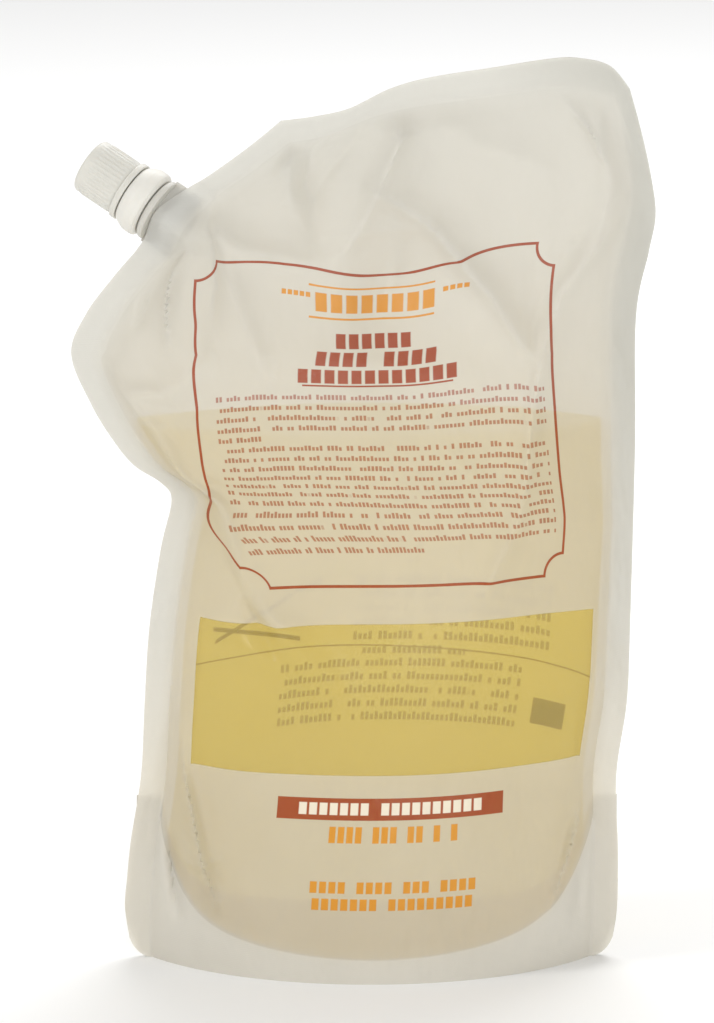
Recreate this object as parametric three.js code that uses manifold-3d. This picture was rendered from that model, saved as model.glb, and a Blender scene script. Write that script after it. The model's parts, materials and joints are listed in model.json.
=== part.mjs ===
// Hand soap refill pack: a one-litre stand-up pouch with a corner spout.
//
// Two webs of frosted film are sealed together at the sides and the top, with a W-folded
// gusset web between them at the bottom. A moulded spout is welded into the cut corner and
// is closed by a screw cap with a tamper band. The pack stands on its gusset and sags a
// little under the weight of its spout corner.
//
// Millimetres. +Z is up, -Y is the front, and +X is the side away from the spout.
import * as THREE from 'three';
import { mergeVertices } from 'three/addons/utils/BufferGeometryUtils.js';
import Module from 'manifold-3d';

const wasm = await Module();
wasm.setup();

// ---------------------------------------------------------------- driving dimensions

const FILM = 0.3;
const GAP = 0.3;
const PLY = FILM + GAP;
// The gap where two faceted curves lie side by side on different grids.
const FACET_SLACK = 0.7;

// The flat web, before it is filled: a rectangle with its spout corner cut off.
const WEB = { width: 183, height: 275, cutRun: 61.5, cutRise: 75 };
const SIDE_SEAL = 9.5;
const TOP_SEAL = 9;
const GUSSET_DEPTH = 50;

// The outline of the filled pack, seen from the front, as [x, z] points of smooth curves.
const LEFT_EDGE = [
  [-74, 0], [-74.5, 12], [-73, 33], [-69.5, 56], [-68.3, 79], [-66.8, 102],
  [-63.3, 126], [-60, 141], [-63.2, 146.4], [-71, 151.5], [-77, 158.5], [-84, 169.5],
  [-90, 184], [-85.6, 196], [-77.2, 207.5], [-68.78, 217.54], [-66.04, 222.02],
  [-63, 226.9], [-59.79, 230.51], [-55.6, 234.1], [-47.6, 239.4], [-36.2, 248], [-26.8, 256],
];
const TOP_EDGE = [
  [-26.8, 256], [-16, 257.8], [-6.3, 260.3], [5.7, 266.2], [17.7, 269.6], [35.5, 272.4],
  [53.4, 275.2], [62, 275.4], [71.3, 273], [77.3, 266],
];
const RIGHT_EDGE = [
  [74.2, 0], [74.7, 12], [74.8, 33], [74.2, 56], [77.3, 79], [78.2, 104], [79.4, 158],
  [79.5, 197], [83.3, 217], [85.2, 228], [83.7, 240], [80.7, 253.6], [77.3, 266],
];
const BOTTOM_EDGE = [[-74, 0], [74.2, 0]];
const CORNER_RADIUS = 11;

// Half the thickness of the filled pack on its middle line, as [height along the web from
// 0 at the bottom to 1 at the top, half thickness].
const BULGE = [
  [0, 36], [0.08, 38], [0.16, 38.5], [0.3, 36.5], [0.42, 33], [0.54, 28], [0.66, 20.5],
  [0.78, 12], [0.88, 5.5], [0.967, 0], [1, 0],
];

// The line where the gusset leaves the webs: low in the middle, high at the side seals.
const GUSSET_ARC = { middle: 7.5, spread: 11, rise: 25.5, power: 8 };
const GUSSET_FLAT = { acrossPart: 0.45, deepPart: 0.35, risePower: 2.5, dishPower: 2 };

const LIQUID_LEVEL = 166;

// The spout: where its axis leaves the film edge, the way it points in the front view, and
// how far it leans back.
const SEAT = { x: -62.85, z: 227.25 };
const SPOUT_FRONT = new THREE.Vector2(-0.853, 0.522).normalize();
const SPOUT_LEAN = 0.346;
const LEAN_START = 38;
const LEAN_BEND = 24;

const BORE_RADIUS = 4.75;
const BOAT = { halfLength: 10.5, halfThickness: 6, tip: 0.4, depth: 9.5, top: 0.4 };
const COLLAR = { radius: 9.5, top: 2.7, bevel: 0.4 };
const NECK = { radius: 6.8, top: 23.9, rimBevel: 0.5 };
const MOUTH = { radius: 5.7, depth: 1.4 };
const BEAD = { radius: 7.5, bottom: 4.2, top: 5.6 };
const BAND = {
  radius: 10.6, bottom: 3, top: 10.3, bore: 7.9, lip: 7.15, lipTop: 3.8, bevel: 1.4, footBevel: 0.3,
};
const BRIDGES = { count: 8, width: 1.1, height: 0.3, inner: 8.1, outer: 8.7 };
const CAP = {
  bottom: 10.9, length: 15.9, radius: 8.6, rimRadius: 9.4, rimHeight: 1.8,
  bore: 7.15, ceiling: 14.6, edge: 1.5, rimBevel: 0.3,
};
const RIBS = { count: 38, width: 0.62, out: 8.95, sunk: 0.5, bottom: 1.5, top: 13.8 };
const LINER = { radius: 6.7, bottom: 24.2, thickness: 1 };

// How far from the boat the film has closed up again, past its ends and below its foot.
const SEAT_FADE = { endStart: 1, endRun: 4, footStart: 1.5, footRun: 26 };

const COLUMNS = { seal: 2, web: 20 };
const ROWS = { body: 22, seat: 12, shoulder: 4, seal: 2 };
const SEAT_BAND = [0.785, 0.885];
const TURN_STEPS = 40;

// ---------------------------------------------------------------- small helpers

const clamp01 = (t) => Math.min(1, Math.max(0, t));
const smoothstep = (t) => clamp01(t) ** 2 * (3 - 2 * clamp01(t));
const lerp = (from, to, t) => from + (to - from) * t;

function curveThrough(points) {
  const curve = new THREE.SplineCurve(points.map(([x, y]) => new THREE.Vector2(x, y)));
  curve.arcLengthDivisions = 600;
  return curve;
}

// A four-sided patch filled in from its four edge curves.
function coonsPatch(left, right, bottom, top) {
  const corner = [left.getPointAt(0), right.getPointAt(0), left.getPointAt(1), right.getPointAt(1)];
  return (across, up) => {
    const sides = left.getPointAt(up).lerp(right.getPointAt(up), across);
    const ends = bottom.getPointAt(across).lerp(top.getPointAt(across), up);
    const low = corner[0].clone().lerp(corner[1], across);
    const high = corner[2].clone().lerp(corner[3], across);
    return sides.add(ends).sub(low.lerp(high, up));
  };
}

// A closed sheet: a box of one layer, with each of its points put where place() says.
function sheet(columns, rows, place) {
  const geometry = new THREE.BoxGeometry(1, 1, 1, columns, rows, 1);
  const position = geometry.attributes.position;
  for (let k = 0; k < position.count; k += 1) {
    const column = Math.round((position.getX(k) + 0.5) * columns);
    const row = Math.round((position.getY(k) + 0.5) * rows);
    const point = place(column, row, position.getZ(k) > 0);
    position.setXYZ(k, point.x, point.y, point.z);
  }
  geometry.clearGroups();
  geometry.computeVertexNormals();
  return geometry;
}

function toSolid(geometry) {
  const bare = geometry.clone();
  bare.deleteAttribute('normal');
  bare.deleteAttribute('uv');
  const merged = mergeVertices(bare, 1e-5);
  return new wasm.Manifold(new wasm.Mesh({
    numProp: 3,
    vertProperties: new Float32Array(merged.attributes.position.array),
    triVerts: new Uint32Array(merged.index.array),
  }));
}

function toGeometry(solid) {
  const { vertProperties, triVerts } = solid.getMesh();
  const geometry = new THREE.BufferGeometry();
  geometry.setAttribute('position', new THREE.BufferAttribute(vertProperties, 3));
  geometry.setIndex(new THREE.BufferAttribute(triVerts, 1));
  geometry.computeVertexNormals();
  return geometry;
}

function turned(profile, steps = TURN_STEPS) {
  return new THREE.LatheGeometry(profile.map(([r, y]) => new THREE.Vector2(r, y)), steps);
}

// ---------------------------------------------------------------- the shape of the webs

const webWidthAt = (up) => {
  const sideRun = WEB.height - WEB.cutRise;
  const cutRun = Math.hypot(WEB.cutRun, WEB.cutRise);
  const along = up * (sideRun + cutRun) - sideRun;
  return WEB.width - WEB.cutRun * clamp01(along / cutRun);
};

const outlineAt = coonsPatch(
  curveThrough(LEFT_EDGE),
  curveThrough(RIGHT_EDGE),
  curveThrough(BOTTOM_EDGE),
  curveThrough(TOP_EDGE),
);
const bulgeCurve = curveThrough(BULGE);
const topSealStart = 1 - TOP_SEAL / WEB.height;
const gussetTop = GUSSET_DEPTH / WEB.height;

// The height of the bulge curve at a height along the web, found by bisection because the
// curve is followed by its own parameter.
function bulgeAt(up) {
  if (up >= topSealStart) {
    return 0;
  }
  const halvings = 24;
  let low = 0;
  let high = 1;
  for (let step = 0; step < halvings; step += 1) {
    const middle = (low + high) / 2;
    if (bulgeCurve.getPoint(middle).x < up) {
      low = middle;
    } else {
      high = middle;
    }
  }
  return Math.max(0, bulgeCurve.getPoint(low).y);
}

const sealPart = (up) => SIDE_SEAL / webWidthAt(up);

// Where a point across the web lies between the side seals: -1 and 1 at their inner edges.
const betweenSeals = (across, up) => (2 * across - 1) / (1 - 2 * sealPart(up));

// A filled web is a circular arc between its side seals.
function arcDepth(across, up) {
  const leastDepth = 0.01;
  const depth = bulgeAt(up);
  const place = betweenSeals(across, up);
  if (depth < leastDepth || Math.abs(place) >= 1) {
    return 0;
  }
  const seal = sealPart(up);
  const half = outlineAt(seal, up).distanceTo(outlineAt(1 - seal, up)) / 2;
  const radius = (half ** 2 + depth ** 2) / (2 * depth);
  const reach = half * place;
  return (half ** 2 - reach ** 2) / (Math.sqrt(radius ** 2 - reach ** 2) + radius - depth);
}

const SPOUT_SIDE = new THREE.Vector2(-SPOUT_FRONT.y, SPOUT_FRONT.x).multiplyScalar(-1);

// Distances from the spout's seat, along its axis and along the film edge.
function fromSeat(point) {
  const offset = point.clone().sub(new THREE.Vector2(SEAT.x, SEAT.z));
  return { out: offset.dot(SPOUT_FRONT), side: offset.dot(SPOUT_SIDE) };
}

// The spout corner leans back: flat near the film edge, bending in smoothly.
function leanAt(point) {
  const inside = Math.max(0, fromSeat(point).out + LEAN_START);
  const bent = Math.min(inside, LEAN_BEND);
  return SPOUT_LEAN * (bent ** 2 / (2 * LEAN_BEND) + Math.max(0, inside - LEAN_BEND));
}

// The normal of the middle surface, which faces the back.
function leanNormal(point) {
  const inside = Math.max(0, fromSeat(point).out + LEAN_START);
  const slope = (SPOUT_LEAN * Math.min(inside, LEAN_BEND)) / LEAN_BEND;
  return new THREE.Vector3(-slope * SPOUT_FRONT.x, 1, -slope * SPOUT_FRONT.y).normalize();
}

// The boat's half thickness at a distance from its middle along the film edge.
function boatHalfAt(side) {
  const part = clamp01(Math.abs(side) / BOAT.halfLength);
  return lerp(BOAT.tip, BOAT.halfThickness, Math.cos((Math.PI / 2) * part) ** 2);
}

// How far the film stands off the middle surface to pass round the spout's welded boat.
function seatStandOff(point) {
  const { out, side } = fromSeat(point);
  const around = boatHalfAt(side) + FACET_SLACK + FILM / 2;
  const pastEnd = Math.abs(side) - BOAT.halfLength - SEAT_FADE.endStart;
  const pastFoot = -out - BOAT.depth - SEAT_FADE.footStart;
  const endFade = 1 - smoothstep(pastEnd / SEAT_FADE.endRun);
  const footFade = 1 - smoothstep(pastFoot / SEAT_FADE.footRun);
  return around * endFade * footFade;
}

// In a seal the webs lie face to face, and either side of the gusset's two legs below.
function sealStandOff(up) {
  const fadePart = 0.03;
  const beside = 1 - smoothstep((up - gussetTop) / fadePart);
  return PLY / 2 + PLY * beside;
}

// The bottom corners are trimmed round within the side seals.
function cornerRise(across, up) {
  const outside = (Math.abs(2 * across - 1) - 1 + 2 * sealPart(up)) / (2 * sealPart(up));
  const fade = clamp01(1 - (up * WEB.height) / (2 * CORNER_RADIUS));
  return CORNER_RADIUS * (1 - Math.sqrt(1 - clamp01(outside) ** 2)) * fade;
}

// The middle of a web's thickness before its corners are trimmed. side is -1 for the
// front web and 1 for the back.
function untrimmedPoint(side, across, up) {
  const point = outlineAt(across, up);
  const depth = Math.max(arcDepth(across, up) + sealStandOff(up), seatStandOff(point));
  const middle = new THREE.Vector3(point.x, leanAt(point), point.y);
  return middle.addScaledVector(leanNormal(point), side * depth);
}

function webPoint(side, across, up) {
  const point = untrimmedPoint(side, across, up);
  point.z += cornerRise(across, up);
  return point;
}

// The web's normal, which faces the front on both webs.
function webNormal(side, across, up) {
  const step = 0.004;
  const right = untrimmedPoint(side, Math.min(1, across + step), up);
  const left = untrimmedPoint(side, Math.max(0, across - step), up);
  const above = untrimmedPoint(side, across, Math.min(1, up + step));
  const below = untrimmedPoint(side, across, Math.max(0, up - step));
  return right.sub(left).cross(above.sub(below)).normalize();
}

// ---------------------------------------------------------------- the film's grid

const COLUMN_COUNT = COLUMNS.web + 2 * COLUMNS.seal;

function columnAt(column, up) {
  const seal = sealPart(up);
  if (column <= COLUMNS.seal) {
    return (seal * column) / COLUMNS.seal;
  }
  if (column >= COLUMN_COUNT - COLUMNS.seal) {
    return 1 - (seal * (COLUMN_COUNT - column)) / COLUMNS.seal;
  }
  const along = (column - COLUMNS.seal) / COLUMNS.web;
  const crowded = 0.5 - 0.5 * Math.cos(Math.PI * along);
  const crowding = 0.5;
  return lerp(seal, 1 - seal, lerp(along, crowded, crowding));
}

function rowStations() {
  const spans = [
    [0, SEAT_BAND[0], ROWS.body],
    [SEAT_BAND[0], SEAT_BAND[1], ROWS.seat],
    [SEAT_BAND[1], topSealStart, ROWS.shoulder],
    [topSealStart, 1, ROWS.seal],
  ];
  const stations = [0];
  for (const [from, to, count] of spans) {
    for (let row = 1; row <= count; row += 1) {
      stations.push(lerp(from, to, row / count));
    }
  }
  return stations;
}

function makePanel(side) {
  const stations = rowStations();
  return sheet(COLUMN_COUNT, stations.length - 1, (column, row, front) => {
    const up = stations[row];
    const across = columnAt(column, up);
    const offset = webNormal(side, across, up).multiplyScalar(front ? FILM / 2 : -FILM / 2);
    const point = webPoint(side, across, up).add(offset);
    point.z = row === 0 ? cornerRise(across, 0) : point.z;
    return point;
  });
}

// ---------------------------------------------------------------- the bottom gusset

const LEG_ROWS = 4;
const DISH_ROWS = 14;

function arcHeight(place) {
  const spread = Math.min(1, Math.abs(place));
  return GUSSET_ARC.middle + GUSSET_ARC.spread * spread ** 2 + GUSSET_ARC.rise * spread ** GUSSET_ARC.power;
}

function floorHeight(place) {
  const beyond = (Math.min(1, Math.abs(place)) - GUSSET_FLAT.acrossPart) / (1 - GUSSET_FLAT.acrossPart);
  return lerp(FILM / 2, GUSSET_DEPTH, clamp01(beyond) ** GUSSET_FLAT.risePower);
}

// A leg lies against the inside of its web, one ply in.
function legPoint(side, across, height) {
  const up = height / WEB.height;
  const inward = webNormal(side, across, up).multiplyScalar(side * PLY);
  return webPoint(side, across, up).add(inward);
}

// The dish between the two legs: flat in the middle, rising to the arc where it meets them.
function dishPoint(across, part) {
  const place = betweenSeals(across, 0);
  const edge = legPoint(Math.sign(part) || 1, across, arcHeight(place));
  const rise = clamp01((Math.abs(part) - GUSSET_FLAT.deepPart) / (1 - GUSSET_FLAT.deepPart));
  const height = lerp(floorHeight(place), edge.z, rise ** GUSSET_FLAT.dishPower);
  return new THREE.Vector3(edge.x, Math.abs(part) * edge.y, height);
}

// The gusset web from its front bottom edge, over the dish, to its back bottom edge.
function gussetPoint(column, row) {
  const across = columnAt(column, 0);
  const total = 2 * LEG_ROWS + DISH_ROWS;
  const fromEdge = Math.min(row, total - row);
  if (fromEdge < LEG_ROWS) {
    const height = (arcHeight(betweenSeals(across, 0)) * fromEdge) / LEG_ROWS;
    return legPoint(row < total / 2 ? -1 : 1, across, height);
  }
  return dishPoint(across, (2 * (row - LEG_ROWS)) / DISH_ROWS - 1);
}

function gussetNormal(column, row) {
  const step = 0.05;
  const rows = 2 * LEG_ROWS + DISH_ROWS;
  const right = gussetPoint(Math.min(COLUMN_COUNT, column + step), row);
  const left = gussetPoint(Math.max(0, column - step), row);
  const behind = gussetPoint(column, Math.min(rows, row + step));
  const before = gussetPoint(column, Math.max(0, row - step));
  return right.sub(left).cross(behind.sub(before)).normalize();
}

function makeGusset() {
  const rows = 2 * LEG_ROWS + DISH_ROWS;
  return sheet(COLUMN_COUNT, rows, (column, row, top) => {
    const offset = gussetNormal(column, row).multiplyScalar(top ? FILM / 2 : -FILM / 2);
    const point = gussetPoint(column, row).add(offset);
    const lowest = cornerRise(columnAt(column, 0), 0);
    point.z = row === 0 || row === rows ? lowest : Math.max(lowest, point.z);
    return point;
  });
}

// ---------------------------------------------------------------- the soap

const LIQUID_ROWS = 20;
const LIQUID_INSET = 0.5;
const BELOW = -20;

// The whole space between the webs, one gap in from their inner faces, on the webs' own
// rows and columns so that the faces stay side by side.
function makeFill() {
  const stations = rowStations();
  return sheet(COLUMNS.web, LIQUID_ROWS, (column, row, front) => {
    const up = stations[row];
    const inset = Math.min(COLUMNS.web - LIQUID_INSET, Math.max(LIQUID_INSET, column));
    const across = columnAt(COLUMNS.seal + inset, up);
    const side = front ? -1 : 1;
    const inward = webNormal(side, across, up).multiplyScalar(side * (FILM / 2 + FACET_SLACK));
    return webPoint(side, across, up).add(inward);
  });
}

// Everything under the gusset's dish, out past the webs on both sides.
function makeUnderGusset() {
  const clearance = 2;
  const past = 1.25;
  const columns = 24;
  const rows = 20;
  return sheet(columns, rows, (column, row, top) => {
    const seal = sealPart(0);
    const across = lerp(seal, 1 - seal, column / columns);
    const part = lerp(-past, past, row / rows);
    const inside = Math.sign(part) * Math.min(1, Math.abs(part));
    const point = dishPoint(across, inside);
    point.y *= Math.max(1, Math.abs(part));
    point.z = top ? point.z + clearance : BELOW;
    return point;
  });
}

function makeLiquid() {
  const head = 200;
  const aboveLevel = new THREE.BoxGeometry(2 * head, 2 * head, head);
  aboveLevel.translate(0, 0, LIQUID_LEVEL + head / 2);
  const soap = toSolid(makeFill()).subtract(toSolid(makeUnderGusset())).subtract(toSolid(aboveLevel));
  const bodies = soap.decompose().sort((one, other) => other.volume() - one.volume());
  return toGeometry(bodies[0]);
}

// ---------------------------------------------------------------- the spout and its cap

function boatOutline() {
  const steps = 16;
  const shape = new THREE.Shape();
  for (let step = 0; step <= 2 * steps; step += 1) {
    const side = step <= steps ? 1 : -1;
    const along = lerp(-BOAT.halfLength, BOAT.halfLength, step <= steps ? step / steps : 2 - step / steps);
    const half = side * boatHalfAt(along);
    if (step === 0) {
      shape.moveTo(along, half);
    } else {
      shape.lineTo(along, half);
    }
  }
  shape.closePath();
  return shape;
}

function makeBoat() {
  const intoCollar = 0.2;
  const depth = BOAT.depth + BOAT.top + intoCollar;
  const boat = new THREE.ExtrudeGeometry(boatOutline(), { depth, bevelEnabled: false });
  boat.rotateX(-Math.PI / 2);
  boat.translate(0, -BOAT.depth, 0);
  return boat;
}

function makeNeck() {
  return turned([
    [0, BOAT.top],
    [COLLAR.radius - COLLAR.bevel, BOAT.top],
    [COLLAR.radius, BOAT.top + COLLAR.bevel],
    [COLLAR.radius, COLLAR.top - COLLAR.bevel],
    [COLLAR.radius - COLLAR.bevel, COLLAR.top],
    [NECK.radius, COLLAR.top],
    [NECK.radius, BEAD.bottom],
    [BEAD.radius, BEAD.bottom],
    [NECK.radius, BEAD.top],
    [NECK.radius, NECK.top - NECK.rimBevel],
    [NECK.radius - NECK.rimBevel, NECK.top],
    [0, NECK.top],
  ]);
}

// The space that the soap pours through, which flares a little at the mouth.
function makeBore() {
  const past = 2;
  return turned([
    [0, -BOAT.depth - past],
    [BORE_RADIUS, -BOAT.depth - past],
    [BORE_RADIUS, NECK.top - MOUTH.depth],
    [MOUTH.radius, NECK.top],
    [MOUTH.radius, NECK.top + past],
    [0, NECK.top + past],
  ]);
}

function makeSpout() {
  return toGeometry(toSolid(makeBoat()).add(toSolid(makeNeck())).subtract(toSolid(makeBore())));
}

function makeBridge(turn) {
  const sunk = 0.2;
  const { width, height, inner, outer } = BRIDGES;
  const bridge = new THREE.BoxGeometry(outer - inner, height + sunk, width);
  bridge.translate((inner + outer) / 2, BAND.top + (height - sunk) / 2, 0);
  bridge.rotateY(turn);
  return bridge;
}

function makeTamperBand() {
  let band = toSolid(turned([
    [BAND.lip, BAND.bottom],
    [BAND.radius - BAND.footBevel, BAND.bottom],
    [BAND.radius, BAND.bottom + BAND.footBevel],
    [BAND.radius, BAND.top - BAND.bevel],
    [BAND.radius - BAND.bevel, BAND.top],
    [BAND.bore, BAND.top],
    [BAND.bore, BAND.lipTop + BAND.footBevel],
    [BAND.lip, BAND.lipTop],
    [BAND.lip, BAND.bottom],
  ]));
  for (let k = 0; k < BRIDGES.count; k += 1) {
    band = band.add(toSolid(makeBridge((2 * Math.PI * k) / BRIDGES.count)));
  }
  return toGeometry(band);
}

function capProfile() {
  const profile = [
    [0, 0],
    [CAP.rimRadius, 0],
    [CAP.rimRadius, CAP.rimHeight - CAP.rimBevel],
    [CAP.rimRadius - CAP.rimBevel, CAP.rimHeight],
    [CAP.radius, CAP.rimHeight],
  ];
  const edgeSteps = 4;
  for (let step = 0; step <= edgeSteps; step += 1) {
    const turn = ((Math.PI / 2) * step) / edgeSteps;
    profile.push([
      CAP.radius - CAP.edge * (1 - Math.cos(turn)),
      CAP.length - CAP.edge * (1 - Math.sin(turn)),
    ]);
  }
  profile.push([0, CAP.length]);
  return profile;
}

function makeRib(turn) {
  const inner = CAP.radius - RIBS.sunk;
  const rib = new THREE.BoxGeometry(RIBS.out - inner, RIBS.top - RIBS.bottom, RIBS.width);
  rib.translate((inner + RIBS.out) / 2, (RIBS.bottom + RIBS.top) / 2, 0);
  rib.rotateY(turn);
  return rib;
}

function makeCap() {
  let cap = toSolid(turned(capProfile()));
  for (let k = 0; k < RIBS.count; k += 1) {
    cap = cap.add(toSolid(makeRib((2 * Math.PI * k) / RIBS.count)));
  }
  const hollow = new THREE.CylinderGeometry(CAP.bore, CAP.bore, 2 * CAP.ceiling, TURN_STEPS);
  return toGeometry(cap.subtract(toSolid(hollow)));
}

function makeLiner() {
  const liner = new THREE.CylinderGeometry(LINER.radius, LINER.radius, LINER.thickness, TURN_STEPS);
  liner.translate(0, LINER.bottom + LINER.thickness / 2, 0);
  return liner;
}

// ---------------------------------------------------------------- the assembly

function piece(name, geometry, color, roughness, extras = {}) {
  const material = new THREE.MeshStandardMaterial({ color, roughness, metalness: 0, ...extras });
  const mesh = new THREE.Mesh(geometry, material);
  mesh.name = name;
  return mesh;
}

const FROSTED = { transparent: true, opacity: 0.8 };
const SOAPY = { transparent: true, opacity: 0.7 };

function spoutFrame() {
  const seat = new THREE.Vector2(SEAT.x, SEAT.z);
  const axis = new THREE.Vector3(SPOUT_FRONT.x, SPOUT_LEAN, SPOUT_FRONT.y).normalize();
  const along = new THREE.Vector3(SPOUT_SIDE.x, 0, SPOUT_SIDE.y);
  const across = along.clone().cross(axis).normalize();
  const frame = new THREE.Group();
  frame.quaternion.setFromRotationMatrix(new THREE.Matrix4().makeBasis(along, axis, across));
  frame.position.set(SEAT.x, leanAt(seat), SEAT.z);
  return frame;
}

const pack = new THREE.Group();
pack.add(
  piece('front_panel', makePanel(-1), 0xdbd6ca, 0.55, FROSTED),
  piece('back_panel', makePanel(1), 0xd8d2c2, 0.55, FROSTED),
  piece('bottom_gusset', makeGusset(), 0xd6cfbc, 0.55, FROSTED),
  piece('liquid_soap', makeLiquid(), 0xd8c47a, 0.15, SOAPY),
);

const fitment = spoutFrame();
const cap = piece('cap', makeCap(), 0xe0ddd3, 0.4);
cap.position.y = CAP.bottom;
fitment.add(
  piece('spout', makeSpout(), 0xcac7bd, 0.4),
  piece('tamper_band', makeTamperBand(), 0xd4d1c8, 0.4),
  piece('cap_liner', makeLiner(), 0xefeee8, 0.7),
  cap,
);
pack.add(fitment);

export default pack;
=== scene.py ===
"""Looks of a hand soap refill pack: a one-litre stand-up pouch with a corner spout.

The pouch is two webs of frosted film with a clear strip, a gusset web between them, soap
that shows through the film, and a moulded spout with a ribbed screw cap. Lengths are in
millimetres until a mesh is made, and metres in Blender.
"""
import json
import logging
import math
from dataclasses import dataclass, field
from enum import Enum
from typing import Callable, Sequence

import bpy
import numpy as np
from mathutils import Matrix, Vector

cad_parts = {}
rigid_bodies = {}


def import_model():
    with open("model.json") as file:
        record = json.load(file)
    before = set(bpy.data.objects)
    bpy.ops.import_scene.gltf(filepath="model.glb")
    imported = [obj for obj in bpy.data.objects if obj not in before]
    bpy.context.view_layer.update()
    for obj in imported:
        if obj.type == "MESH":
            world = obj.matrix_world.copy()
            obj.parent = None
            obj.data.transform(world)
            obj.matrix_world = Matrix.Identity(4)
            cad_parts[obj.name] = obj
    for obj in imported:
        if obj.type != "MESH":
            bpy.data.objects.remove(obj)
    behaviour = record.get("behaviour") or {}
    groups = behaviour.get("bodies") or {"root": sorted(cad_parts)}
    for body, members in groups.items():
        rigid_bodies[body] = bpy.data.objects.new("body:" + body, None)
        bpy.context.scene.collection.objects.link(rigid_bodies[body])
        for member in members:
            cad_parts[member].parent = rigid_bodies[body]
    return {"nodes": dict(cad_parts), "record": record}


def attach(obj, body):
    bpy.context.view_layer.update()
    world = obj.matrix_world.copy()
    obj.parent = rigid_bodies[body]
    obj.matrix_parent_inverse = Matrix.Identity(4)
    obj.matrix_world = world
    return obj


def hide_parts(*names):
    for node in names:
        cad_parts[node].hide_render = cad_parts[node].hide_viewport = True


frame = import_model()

LOG = logging.getLogger("refill_pack")
MM = 0.001
Point = tuple[float, float]
Colour = tuple[float, float, float]
HARD = 0.01  # the width of a mask's step that should look sharp


# ---------------------------------------------------------------- number helpers


def smoothstep(t: np.ndarray) -> np.ndarray:
    """A smooth ramp from 0 at t = 0 to 1 at t = 1."""
    t = np.clip(t, 0.0, 1.0)
    return t * t * (3.0 - 2.0 * t)


def lerp(low: np.ndarray, high: np.ndarray, t: np.ndarray) -> np.ndarray:
    """The mix of two values, low at t = 0 and high at t = 1."""
    return low + (high - low) * t


def scaled(colour: Colour, amount: float) -> Colour:
    """A colour made lighter or darker, at most white."""
    return tuple(min(1.0, part * amount) for part in colour)


class Curve:
    """A smooth curve through a few points, followed by its length or by its first coordinate."""

    STEPS = 60

    def __init__(self, points: Sequence[Point]) -> None:
        """Samples a uniform Catmull-Rom curve.

        Args:
            points: the points that the curve passes through, in order.
        """
        knots = np.array(points, dtype=float)
        padded = np.vstack([knots[0], knots, knots[-1]])
        t = np.linspace(0.0, 1.0, self.STEPS, endpoint=False)[:, None]
        spans = [self._span(padded[k:k + 4], t) for k in range(len(knots) - 1)]
        self.samples = np.vstack(spans + [knots[-1:]])
        steps = np.linalg.norm(np.diff(self.samples, axis=0), axis=1)
        self.length = np.concatenate([[0.0], np.cumsum(steps)])

    @staticmethod
    def _span(p: np.ndarray, t: np.ndarray) -> np.ndarray:
        """The curve between the middle two of four points."""
        start = (p[2] - p[0]) * 0.5
        end = (p[3] - p[1]) * 0.5
        cubic = 2 * p[1] - 2 * p[2] + start + end
        square = -3 * p[1] + 3 * p[2] - 2 * start - end
        return cubic * t**3 + square * t**2 + start * t + p[1]

    def at(self, part: np.ndarray) -> np.ndarray:
        """Points at parts of the curve's length, from 0 to 1."""
        reach = np.clip(part, 0.0, 1.0) * self.length[-1]
        return np.stack([np.interp(reach, self.length, self.samples[:, k]) for k in (0, 1)], axis=-1)

    def height(self, x: np.ndarray) -> np.ndarray:
        """The second coordinate at a first coordinate, for a curve that never turns back."""
        return np.interp(x, self.samples[:, 0], self.samples[:, 1])


# ---------------------------------------------------------------- the shape of the filled pouch


class Side(Enum):
    """Which of the two webs: the value is the sign of its Y."""

    FRONT = -1.0
    BACK = 1.0


@dataclass
class Crease:
    """A fold in a web, along a line in the flat web.

    Sizes in millimetres: points are (u, v) on the flat web, width is how far the fold reaches
    to each side, and height how far it stands out of the web, negative for a valley.
    """

    points: Sequence[Point]
    width: float
    height: float
    sharpness: float = 1.0

    def lift(self, flat: np.ndarray) -> np.ndarray:
        """How far the fold lifts the web.

        Args:
            flat: places on the flat web, as an array of (u, v).

        Returns:
            The lift at each place, in millimetres.
        """
        knots = np.array(self.points, dtype=float)
        lengths = np.linalg.norm(np.diff(knots, axis=0), axis=1)
        starts = np.concatenate([[0.0], np.cumsum(lengths)])
        nearest = np.full(flat.shape[:-1], 1e9)
        along = np.zeros(flat.shape[:-1])
        for k, length in enumerate(lengths):
            way = (knots[k + 1] - knots[k]) / length
            offset = flat - knots[k]
            reach = np.clip(offset @ way, 0.0, length)
            gap = np.linalg.norm(offset - reach[..., None] * way, axis=-1)
            closer = gap < nearest
            nearest = np.where(closer, gap, nearest)
            along = np.where(closer, starts[k] + reach, along)
        part = along / starts[-1]
        taper = np.sin(np.pi * np.clip(part * 0.84 + 0.08, 0.0, 1.0)) ** 0.7
        round_top = 0.35 / self.sharpness
        profile = np.exp(round_top - np.sqrt((nearest / self.width) ** 2 * 2.2 + round_top**2))
        return self.height * taper * profile


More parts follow.
